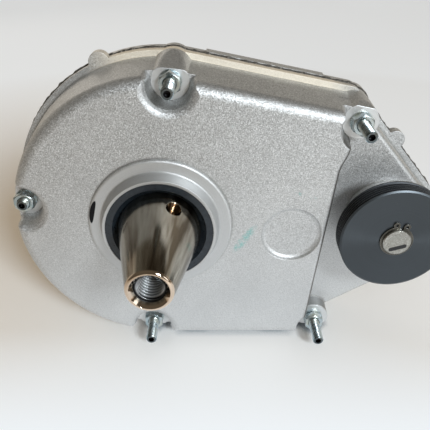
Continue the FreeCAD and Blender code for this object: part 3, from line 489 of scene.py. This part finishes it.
def hub_mask(tree, place):
    """High on the turned hub, lower on its base, 0 elsewhere."""
    radius, depth, _ = polar(tree, place, output_axis)
    hub = spread(tree, radius, *hub_rim, hub_share, base_share)
    return times(tree, hub, spread(tree, depth, *hub_depth, 0.0, 1.0))


def spot_face_mask(tree, place):
    """1 on the spot faces round the studs."""
    mask = 0.0
    for number in bolt_numbers:
        radius, depth, _ = polar(tree, place, stud_axis(number))
        near = math_of(tree, "LESS_THAN", radius, spot_face_radius)
        face = times(tree, near, between(tree, depth, *spot_face_depth, spot_face_soft))
        mask = math_of(tree, "MAXIMUM", mask, face)
    return mask


def turning_lines(tree, place):
    """Fine rings round the output axis."""
    radius, depth, _ = polar(tree, place, output_axis)
    return noise(tree, pair(tree, radius, depth), scale=2200.0, detail=2.0)


def marker_marks(tree, place, skin):
    """Black witness dash on the hub, and teal marking dye on the flat front."""
    radius, depth, local = polar(tree, place, output_axis)
    x, _, z = parts_of(tree, local)
    angle = math_of(tree, "ARCTAN2", z, x)
    across = spread(tree, radius, hub_dash_radius - hub_dash_half,
                    hub_dash_radius + hub_dash_half, -1.0, 1.0)
    along = spread(tree, angle, hub_dash_angle - hub_dash_half_angle,
                   hub_dash_angle + hub_dash_half_angle, -1.0, 1.0)
    oval = value_of(tree, "LENGTH", pair(tree, across, along))
    dash = spread(tree, oval, 0.85, 0.95, 1.0, 0.0)
    dash = times(tree, dash, math_of(tree, "LESS_THAN", depth, hub_dash_depth))
    skin = blend_colours(tree, dash, skin, colour(0.012, 0.012, 0.014))
    front = math_of(tree, "LESS_THAN", depth, front_depth)
    wobble = noise(tree, place, scale=240.0, detail=4.0, roughness=0.65)
    for centre, lean, (half_long, half_wide), limits in dye_patches:
        inputs = {"Vector": place, "Location": centre, "Rotation": (0.0, -lean, 0.0),
                  "Scale": (half_long, 1.0, half_wide)}
        on_patch = put(tree, "Mapping", inputs, vector_type="TEXTURE").outputs[0]
        inside = value_of(tree, "LENGTH", vector_of(tree, "MULTIPLY", on_patch, ACROSS_Y))
        cover = spread(tree, inside, 0.55, 1.0, 1.0, 0.0)
        broken = spread(tree, wobble, *limits, 0.0, 0.75)
        skin = blend_colours(tree, times(tree, cover, broken, front), skin, colour(0.10, 0.50, 0.47))
    return skin


def sealant():
    """Dark lumpy sealant whose pale flecks are painted glints."""
    material, tree, shader, place = new_material("cured_sealant")
    lump = noise(tree, place, scale=420.0, detail=4.0, roughness=0.6)
    fleck = noise(tree, place, scale=900.0, detail=2.0)
    skin = ramp(tree, fleck, (0.35, colour(0.018, 0.016, 0.014)), (0.60, colour(0.07, 0.062, 0.052)),
                (0.72, colour(0.36, 0.34, 0.30)))
    feed(tree, shader, Base_Color=skin, Roughness=spread(tree, lump, 0.3, 0.7, 0.35, 0.7),
         Normal=bump(tree, lump, distance=0.8 * MM))
    return material


def zinc_steel():
    """Zinc plate with painted shade in the thread roots and a black marker dab in the end hollow; a bolt's origin
    is on its axis, so both show on bolts alone.
    """
    material, tree, shader, place = new_material("zinc_plate")
    normal, edge = soft_edges(tree, radius=0.25 * MM)
    cloud = noise(tree, place, scale=160.0, detail=3.0)
    skin = ramp(tree, cloud, (0.30, colour(0.31, 0.40, 0.43)), (0.52, colour(0.50, 0.555, 0.57)),
                (0.72, colour(0.50, 0.515, 0.45)))
    skin = blend_colours(tree, times(tree, edge, 0.5), skin, colour(0.82, 0.83, 0.83))
    radius, depth, _ = polar(tree, place, (0.0, 0.0, 0.0))
    # Painted shade in the thread roots, and a black marker dab in the end hollow
    roots = spread(tree, radius, stud_crest - stud_depth, stud_crest - 0.25 * stud_depth, 0.75, 0.0)
    hollow = math_of(tree, "LESS_THAN", radius, stud_dimple_radius + stud_dimple_margin)
    free_end = math_of(tree, "LESS_THAN", depth, stud_free_end)
    root_shade_and_marker = times(tree, math_of(tree, "MAXIMUM", roots, hollow), free_end)
    skin = blend_colours(tree, root_shade_and_marker, skin, colour(0.012, 0.012, 0.013))
    scratch = noise(tree, place, scale=1500.0, detail=2.0)
    rough = spread(tree, cloud, 0.3, 0.7, 0.20, 0.36)
    feed(tree, shader, Base_Color=skin, Metallic=1.0, Roughness=rough,
         Normal=bump(tree, scratch, distance=0.04 * MM, normal=normal, strength=0.6))
    return material


def ground_steel(name, low, high, smooth, dull):
    """Plain machined steel between two shades and two roughnesses."""
    material, tree, shader, place = new_material(name)
    normal, edge = soft_edges(tree, radius=0.3 * MM)
    cloud = noise(tree, place, scale=90.0, detail=4.0)
    along = vector_of(tree, "MULTIPLY", place, (1.0, 6.0, 1.0))
    lines = noise(tree, along, scale=400.0, detail=3.0)
    skin = ramp(tree, cloud, (0.3, low), (0.7, high))
    skin = blend_colours(tree, times(tree, edge, 0.45), skin, colour(0.80, 0.79, 0.77))
    rough = spread(tree, lines, 0.3, 0.7, smooth, dull)
    feed(tree, shader, Base_Color=skin, Metallic=1.0, Roughness=rough,
         Normal=bump(tree, lines, distance=0.03 * MM, normal=normal, strength=0.5))
    return material


def seal_rubber():
    """Dusty black rubber with fine lips round the output axis."""
    material, tree, shader, place = new_material("oil_seal_rubber")
    normal, edge = soft_edges(tree, radius=0.3 * MM)
    dust = noise(tree, place, scale=300.0, detail=4.0, roughness=0.6)
    grain = noise(tree, place, scale=2400.0, detail=2.0)
    skin = ramp(tree, dust, (0.35, colour(0.008, 0.012, 0.017)), (0.62, colour(0.014, 0.020, 0.027)),
                (0.80, colour(0.040, 0.050, 0.060)))
    skin = blend_colours(tree, times(tree, edge, 0.35), skin, colour(0.10, 0.115, 0.13))
    radius, depth, _ = polar(tree, place, output_axis)
    lips = noise(tree, pair(tree, radius, depth), scale=900.0, detail=2.0)
    normal = bump(tree, lips, distance=0.03 * MM, normal=normal, strength=0.4)
    feed(tree, shader, Base_Color=skin, Roughness=spread(tree, dust, 0.3, 0.8, 0.26, 0.36),
         Normal=bump(tree, grain, distance=0.02 * MM, normal=normal, strength=0.4))
    return material


def taper_steel():
    """Polished output shaft: painted reflection streaks on the taper, a golden tip ring, a bright bore with
    painted shade in its thread roots, and a bronze drill point with painted golden glints.
    """
    material, tree, shader, place = new_material("polished_taper")
    normal, _ = soft_edges(tree, radius=0.4 * MM)
    radius, depth, local = polar(tree, place, output_axis)
    turn = vector_of(tree, "NORMALIZE", vector_of(tree, "MULTIPLY", local, ACROSS_Y))
    slow = vector_of(tree, "MULTIPLY", local, (0.0, 6.0, 0.0))
    # Painted reflections: dark and bright streaks round the taper, stretched along it
    painted_reflection_streak = noise(tree, vector_of(tree, "ADD", turn, slow), scale=1.9, detail=3.0)
    skin = ramp(tree, painted_reflection_streak, (0.38, colour(0.10, 0.075, 0.05)), (0.50, colour(0.34, 0.30, 0.245)),
                (0.64, colour(0.56, 0.53, 0.46)))
    tip = spread(tree, depth, tip_y + tip_ring[0], tip_y + tip_ring[1], 0.0, 1.0)
    skin = blend_colours(tree, times(tree, tip, 0.85), skin, colour(0.76, 0.61, 0.48))
    bore = math_of(tree, "LESS_THAN", radius, bore_radius)
    # Bore: pale thread crests and painted shade in the thread roots
    bore_thread_painted_shade = ramp(tree, spread(tree, radius, socket_minor, socket_major, 0.0, 1.0),
                  (0.15, colour(0.46, 0.47, 0.48)), (0.75, colour(0.05, 0.05, 0.05)))
    skin = blend_colours(tree, bore, skin, bore_thread_painted_shade)
    skin = drill_point(tree, place, radius, depth, skin)
    lines = noise(tree, pair(tree, depth, radius), scale=3000.0, detail=2.0)
    rough = blend_values(tree, tip, spread(tree, lines, 0.3, 0.7, 0.11, 0.19), 0.05)
    rough = blend_values(tree, bore, rough, 0.30)
    feed(tree, shader, Base_Color=skin, Metallic=1.0, Roughness=rough,
         Normal=bump(tree, lines, distance=0.01 * MM, normal=normal, strength=0.3),
         Tangent=around(tree, local), Anisotropic=0.35)
    return material


def drill_point(tree, place, radius, depth, skin):
    """Bronze tint with painted golden glints inside the drilled dimple of the taper."""
    near = math_of(tree, "LESS_THAN", value_of(tree, "DISTANCE", place, dimple_place), dimple_reach)
    cone = spread(tree, depth, taper_start, taper_end, taper_low, taper_high)
    inside = math_of(tree, "LESS_THAN", radius, cone)
    fleck = noise(tree, place, scale=420.0, detail=2.0)
    glint = ramp(tree, fleck, (0.42, colour(0.05, 0.028, 0.015)),
                 (0.60, colour(0.20, 0.12, 0.06)), (0.72, colour(0.85, 0.62, 0.38)))
    return blend_colours(tree, times(tree, near, inside), skin, glint)


def pulley_black():
    """Blackened steel with a turned face, and painted shade darkening its ribbed rim."""
    material, tree, shader, place = new_material("blackened_pulley")
    normal, edge = soft_edges(tree, radius=0.35 * MM)
    radius, depth, local = polar(tree, place, input_axis)
    lines = noise(tree, pair(tree, radius, depth), scale=1800.0, detail=3.0)
    dust = noise(tree, place, scale=500.0, detail=4.0)
    skin = ramp(tree, lines, (0.25, colour(0.042, 0.050, 0.057)), (0.75, colour(0.050, 0.059, 0.068)))
    # Painted shade on the ribbed rim
    rib_shade = spread(tree, depth, pulley_front + rib_start[0], pulley_front + rib_start[1], 0.0, 1.0)
    skin = blend_colours(tree, rib_shade, skin, colour(0.012, 0.014, 0.017))
    skin = blend_colours(tree, spread(tree, dust, 0.70, 0.80, 0.0, 0.5), skin, colour(0.20, 0.21, 0.22))
    skin = blend_colours(tree, times(tree, edge, 0.30), skin, colour(0.22, 0.23, 0.24))
    rough = spread(tree, lines, 0.3, 0.7, 0.27, 0.33)
    feed(tree, shader, Base_Color=skin, Metallic=0.55, Roughness=rough,
         Normal=bump(tree, lines, distance=0.008 * MM, normal=normal, strength=0.3),
         Tangent=around(tree, local), Anisotropic=0.85)
    return material


def input_steel():
    """Input shaft with a black witness dash on its end."""
    material, tree, shader, place = new_material("turned_input_shaft")
    normal, _ = soft_edges(tree, radius=0.3 * MM)
    radius, depth, local = polar(tree, place, input_axis)
    lines = noise(tree, pair(tree, radius, depth), scale=1500.0, detail=3.0)
    skin = ramp(tree, lines, (0.3, colour(0.38, 0.37, 0.34)), (0.7, colour(0.54, 0.53, 0.49)))
    stain = noise(tree, place, scale=700.0, detail=3.0)
    stain = spread(tree, stain, 0.42, 0.62, 0.5, 0.0)
    skin = blend_colours(tree, stain, skin, colour(0.20, 0.185, 0.155))
    inputs = {"Vector": local, "Location": dash_centre, "Rotation": (0.0, -dash_lean, 0.0)}
    on_dash = put(tree, "Mapping", inputs, vector_type="TEXTURE").outputs[0]
    along, _, across = parts_of(tree, on_dash)
    beyond = math_of(tree, "SUBTRACT", math_of(tree, "ABSOLUTE", along), dash_half - dash_round)
    off_line = value_of(tree, "LENGTH", pair(tree, math_of(tree, "MAXIMUM", beyond, 0.0), across))
    dash = spread(tree, off_line, 0.85 * dash_round, dash_round, 1.0, 0.0)
    dash = times(tree, dash, math_of(tree, "LESS_THAN", depth, shaft_end_y + dash_depth))
    skin = blend_colours(tree, dash, skin, colour(0.006, 0.006, 0.007))
    metal = spread(tree, dash, 0.0, 1.0, 1.0, 0.0)
    rough = spread(tree, lines, 0.3, 0.7, 0.26, 0.40)
    feed(tree, shader, Base_Color=skin, Metallic=metal, Roughness=rough,
         Normal=bump(tree, lines, distance=0.02 * MM, normal=normal, strength=0.4),
         Tangent=around(tree, local), Anisotropic=0.5)
    return material


finish = {
    "cast_aluminium": cast_aluminium(),
    "sealant": sealant(),
    "zinc_steel": zinc_steel(),
    "seal_rubber": seal_rubber(),
    "taper_steel": taper_steel(),
    "input_steel": input_steel(),
    "pulley_black": pulley_black(),
}

# Plain steels: slot, name, two shades and two roughnesses
plain_steels = (
    ("dowel_steel", "dowel_pin", (0.48, 0.48, 0.48), (0.62, 0.62, 0.61), 0.22, 0.34),
    ("bearing_steel", "bearing_ring", (0.52, 0.52, 0.53), (0.66, 0.66, 0.66), 0.15, 0.26),
    ("gear_steel", "hardened_gear", (0.34, 0.33, 0.32), (0.50, 0.49, 0.47), 0.28, 0.42),
    ("key_steel", "bright_key", (0.45, 0.45, 0.44), (0.58, 0.58, 0.57), 0.26, 0.38),
    ("spring_steel", "phosphated_clip", (0.055, 0.052, 0.045), (0.15, 0.14, 0.12), 0.30, 0.46),
)
for slot, name, low, high, smooth, dull in plain_steels:
    finish[slot] = ground_steel(name, colour(*low), colour(*high), smooth, dull)
for node in nodes.values():
    slot = node.data.materials[0].name
    node.data.materials[0] = finish[slot]


# Meshes
def ring(y, radius_at):
    """One closed row of points round the Y axis; radius_at gives the radius at an angle."""
    angles = [2 * math.pi * i / ring_points for i in range(ring_points)]
    return [(radius_at(a) * math.cos(a), y, radius_at(a) * math.sin(a)) for a in angles]


def closed_skin(name, rows, first, last):
    """Closed mesh from rows of equal length, with a point at each end."""
    count = len(rows[0])
    points = [first] + [p for row in rows for p in row] + [last]
    faces = []
    for i in range(count):
        j = (i + 1) % count
        faces.append((0, 1 + i, 1 + j))
        for row in range(len(rows) - 1):
            a, b = 1 + row * count, 1 + (row + 1) * count
            faces.append((a + i, b + i, b + j, a + j))
        end = 1 + (len(rows) - 1) * count
        faces.append((len(points) - 1, end + j, end + i))
    mesh = bpy.data.meshes.new(name)
    mesh.from_pydata(points, [], faces)
    mesh.validate()
    mesh.shade_smooth()
    mesh.set_sharp_from_angle(angle=sharp_angle)
    piece = bpy.data.objects.new(name, mesh)
    bpy.context.scene.collection.objects.link(piece)
    return piece


def thread_height(turn):
    """Height of a screw thread, 0 at the root and 1 at the crest, at a share of one turn."""
    off_root = abs(turn % 1.0 - 0.5) * 2
    return min(1.0, max(0.0, (off_root - thread_root) / (1.0 - thread_root - thread_crest)))


def hexagon_radius(angle):
    """Radius of the bolt head's hexagon at an angle."""
    sector = math.pi / 3
    return head_flat_radius / math.cos((angle + sector / 2) % sector - sector / 2)


def make_bolt(number):
    """Hexagon bolt whose free end carries a real right-hand thread."""
    node = "case_bolt_%d" % number
    low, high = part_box(node)
    nut_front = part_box("case_nut_%d" % number)[0].y
    tip, head_end = low.y, high.y
    thread_end = nut_front + 0.5 * stud_pitch
    head_start = head_end - head_height

    def thread_radius(y):
        limit = stud_crest - stud_chamfer + (y - tip)
        fade = min(1.0, (thread_end - y) / (0.5 * stud_pitch))

        def at_angle(angle):
            height = thread_height(y / stud_pitch + angle / (2 * math.pi))
            crest = stud_crest - stud_depth * (1 - height) * max(0.0, fade)
            return min(crest, limit)
        return at_angle

    dimple_end = tip + stud_dimple_depth
    rows = [ring(dimple_end - stud_dimple_point, lambda a: stud_dimple_radius)]
    rows.append(ring(tip, lambda a: stud_dimple_radius))
    count = round((thread_end - tip) / stud_pitch * rows_per_turn)
    for i in range(count + 1):
        y = tip + (thread_end - tip) * i / count
        rows.append(ring(y, thread_radius(y)))
    rows.append(ring(thread_end + thread_runout, lambda a: shank_radius))
    rows.append(ring(head_start, lambda a: shank_radius))
    rows.append(ring(head_start, hexagon_radius))
    rows.append(ring(head_end - head_chamfer, hexagon_radius))
    round_face = head_flat_radius * head_face_share
    rows.append(ring(head_end, lambda a: min(hexagon_radius(a), round_face)))
    piece = closed_skin("threaded_bolt_%d" % number, rows, (0.0, dimple_end, 0.0), (0.0, head_end, 0.0))
    piece.location = stud_axis(number)
    piece.data.materials.append(finish["zinc_steel"])
    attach(piece, "housing")
    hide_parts(node)


def make_socket_thread():
    """Ridge of the internal thread in the shaft tip."""
    wall = mounts["output_thread"]
    middle = wall["pos_m"][1]
    half = wall["dims"]["length_mm"] * MM / 2 - socket_margin * socket_pitch
    start, end = middle - half, middle + half
    turns = (end - start) / socket_pitch
    count = round(turns * socket_sections)
    foot, crest = socket_pitch * 7 / 16, socket_pitch / 8
    outer = socket_major + socket_overlap
    rows = []
    for i in range(count + 1):
        angle = -2 * math.pi * turns * i / count
        y = start + (end - start) * i / count
        rise = min(1.0, 2.0 * turns * i / count, 2.0 * turns * (count - i) / count)
        rise = max(rise, socket_least_rise)
        inner = socket_major - (socket_major - socket_minor) * rise
        profile = ((outer, foot), (inner, crest), (inner, -crest), (outer, -foot))
        rows.append([(r * math.cos(angle), y + dy * rise, r * math.sin(angle)) for r, dy in profile])
    ends = [tuple(sum(p[k] for p in row) / len(row) for k in range(3)) for row in (rows[0], rows[-1])]
    piece = closed_skin("socket_thread", rows, ends[0], ends[1])
    piece.location = output_axis
    piece.data.materials.append(finish["taper_steel"])
    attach(piece, "output_rotor")


def joint_outline():
    """Outer edge of the gasket as (x, z) points in order, read from its mesh."""
    mesh = nodes["case_gasket"].data
    joined = {}
    for face in mesh.polygons:
        if abs(face.normal.y) > 0.5:
            continue
        corners = [mesh.vertices[i].co for i in face.vertices]
        keys = [(round(c.x, 6), round(c.z, 6)) for c in corners if c.y - gasket_low.y < edge_tolerance]
        if len(keys) == 2 and keys[0] != keys[1]:
            joined.setdefault(keys[0], []).append(keys[1])
            joined.setdefault(keys[1], []).append(keys[0])
    point = min(joined)
    outline = [point]
    seen = {point}
    while True:
        ahead = [p for p in joined[point] if p not in seen]
        if not ahead:
            return outline
        point = ahead[0]
        seen.add(point)
        outline.append(point)


def even_steps(outline, step):
    """Points at even steps along a closed outline, with the outward direction at each."""
    ends = outline[1:] + outline[:1]
    lengths = [math.dist(a, b) for a, b in zip(outline, ends)]
    count = round(sum(lengths) / step)
    spacing = sum(lengths) / count
    turn = sum(a[0] * b[1] - b[0] * a[1] for a, b in zip(outline, ends))
    side = 1.0 if turn > 0 else -1.0
    steps = []
    reached = 0.0
    for (a, b), length in zip(zip(outline, ends), lengths):
        while len(steps) < count and len(steps) * spacing <= reached + length:
            share = (len(steps) * spacing - reached) / length
            across = ((b[1] - a[1]) / length * side, (a[0] - b[0]) / length * side)
            steps.append(((a[0] + (b[0] - a[0]) * share, a[1] + (b[1] - a[1]) * share), across))
        reached += length
    return steps


def lumps(along, waves):
    """Uneven swelling between -1 and 1, as the mean of waves of the given lengths."""
    return sum(math.sin(2 * math.pi * along / wave + wave * wave_phase) for wave in waves) / len(waves)


def make_sealant_bead():
    """Uneven bead of sealant that stands out of the joint between the covers, within the CAD box."""
    middle = (gasket_low.y + gasket_high.y) / 2
    steps = even_steps(joint_outline(), bead_step)
    points = []
    for i, ((x, z), (across_x, across_z)) in enumerate(steps):
        along = i * bead_step
        radius = bead_radius * (1.0 + bead_swell * lumps(along, swell_waves))
        sink = bead_inset * (1.0 + bead_sink * lumps(along, sink_waves))
        y = middle + bead_sway * lumps(along, sway_waves)
        for k in range(bead_sides):
            angle = 2 * math.pi * k / bead_sides
            out = radius * math.cos(angle) - sink
            point_x = min(cad_high.x, max(cad_low.x, x + across_x * out))
            point_z = min(cad_high.z, max(cad_low.z, z + across_z * out))
            points.append((point_x, y + radius * math.sin(angle), point_z))
    faces = []
    for i in range(len(steps)):
        a, b = i * bead_sides, (i + 1) % len(steps) * bead_sides
        for k in range(bead_sides):
            j = (k + 1) % bead_sides
            faces.append((a + k, a + j, b + j, b + k))
    mesh = bpy.data.meshes.new("sealant_bead")
    mesh.from_pydata(points, [], faces)
    mesh.validate()
    mesh.shade_smooth()
    mesh.materials.append(finish["sealant"])
    bead = bpy.data.objects.new("sealant_bead", mesh)
    bpy.context.scene.collection.objects.link(bead)
    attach(bead, "housing")


for number in bolt_numbers:
    make_bolt(number)
make_socket_thread()
make_sealant_bead()


# Studio
def make_floor():
    """White table; its glow is seen by the camera and mirrored by metal, but lights nothing."""
    mesh = bpy.data.meshes.new("floor")
    corners = ((-1, -1), (1, -1), (1, 1), (-1, 1))
    mesh.from_pydata([(x * floor_half, y * floor_half, floor_z) for x, y in corners], [], [(0, 1, 2, 3)])
    material, tree, shader, place = new_material("white_table")
    cloud = noise(tree, place, scale=3.0, detail=3.0)
    skin = ramp(tree, cloud, (0.3, colour(0.90, 0.90, 0.90)), (0.7, colour(0.93, 0.93, 0.925)))
    # Painted contact shadow, which also holds back the glow
    painted_contact_shadow = creases(tree, contact_reach, contact_most)
    skin = blend_colours(tree, painted_contact_shadow, skin, colour(0.26, 0.30, 0.34))
    feed(tree, shader, Base_Color=skin, Roughness=spread(tree, cloud, 0.3, 0.7, 0.45, 0.6))
    glow = put(tree, "Emission", {"Color": colour(*glow_tint), "Strength": 1.0})
    x, y, _ = parts_of(tree, place)
    mirror = times(
        tree,
        spread(tree, y, *mirror_range, mirror_far, mirror_near),
        spread(tree, y, *mirror_behind_range, 1.0, mirror_behind),
        spread(tree, x, *mirror_left_range, mirror_left, 1.0),
    )
    away = value_of(tree, "DISTANCE", place, (lamp_target.x, lamp_target.y, floor_z))
    around_it = spread(tree, away, *glow_range, glow_near, glow_far)
    before_it = spread(tree, y, *glow_front_range, 0.0, glow_front)
    right_of_it = spread(tree, x, *glow_right_range, 0.0, glow_right)
    most = math_of(tree, "MAXIMUM", math_of(tree, "MAXIMUM", around_it, before_it), right_of_it)
    clear = spread(tree, painted_contact_shadow, 0.0, contact_most, 1.0, 0.0)
    rays = put(tree, "LightPath")
    seen = times(tree, rays.outputs["Is Camera Ray"], most, clear)
    mirrored = times(tree, rays.outputs["Is Glossy Ray"], mirror)
    mixed = mix_shaders(tree, math_of(tree, "MAXIMUM", seen, mirrored), shader, glow)
    tree.links.new(mixed.outputs[0], tree.nodes["Material Output"].inputs["Surface"])
    material.cycles.emission_sampling = "NONE"
    mesh.materials.append(material)
    floor = bpy.data.objects.new("floor", mesh)
    bpy.context.scene.collection.objects.link(floor)
    floor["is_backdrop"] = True


def make_lamp(name, place, size, power, tint, beam):
    """Square area lamp aimed at the object."""
    lamp = bpy.data.lights.new(name, "AREA")
    lamp.shape = "SQUARE"
    lamp.size = size
    lamp.spread = beam
    lamp.energy = power
    lamp.color = tint
    holder = bpy.data.objects.new(name, lamp)
    holder.location = place
    holder.rotation_mode = "QUATERNION"
    holder.rotation_quaternion = (lamp_target - Vector(place)).to_track_quat("-Z", "Y")
    bpy.context.scene.collection.objects.link(holder)


def make_world():
    """Warm room light; metal mirrors a dim room and a low pale screen, the camera sees a backdrop."""
    world = bpy.data.worlds.new("studio")
    world.use_nodes = True
    tree = world.node_tree
    tree.nodes.clear()
    rays = put(tree, "LightPath")
    ambient = put(tree, "Background", {"Color": colour(*ambient_tint), "Strength": ambient_strength})
    _, y, z = parts_of(tree, put(tree, "TexCoord").outputs["Generated"])
    behind = spread(tree, y, *screen_behind, 0.0, 1.0)
    screen = times(tree, behind, spread(tree, z, *screen_top, 1.0, 0.0))
    seen = blend_colours(tree, screen, colour(*room_tint), colour(*screen_tint))
    mirrored = put(tree, "Background", {"Color": seen, "Strength": 1.0})
    backdrop = put(tree, "Background", {"Color": colour(*backdrop_tint), "Strength": 1.0})
    glossy = mix_shaders(tree, rays.outputs["Is Glossy Ray"], ambient, mirrored)
    shade = mix_shaders(tree, rays.outputs["Is Camera Ray"], glossy, backdrop)
    put(tree, "OutputWorld", {"Surface": shade.outputs[0]})
    world.cycles.sampling_method = "NONE"
    bpy.context.scene.world = world


def make_camera():
    camera = bpy.data.cameras.new("camera")
    camera.lens = camera_lens
    camera.sensor_width = camera_sensor
    camera.clip_start = camera_near
    camera.clip_end = camera_far
    holder = bpy.data.objects.new("camera", camera)
    holder.location = camera_place
    holder.rotation_euler = Euler((camera_pitch, 0.0, camera_yaw))
    bpy.context.scene.collection.objects.link(holder)
    bpy.context.scene.camera = holder


# Objects of the start-up scene are removed
for name in ("Cube", "Light", "Camera"):
    if name in bpy.data.objects:
        bpy.data.objects.remove(bpy.data.objects[name])
make_floor()
for lamp in lamps:
    make_lamp(*lamp)
make_world()
make_camera()
bpy.context.scene.view_settings.view_transform = "Standard"

low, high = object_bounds()
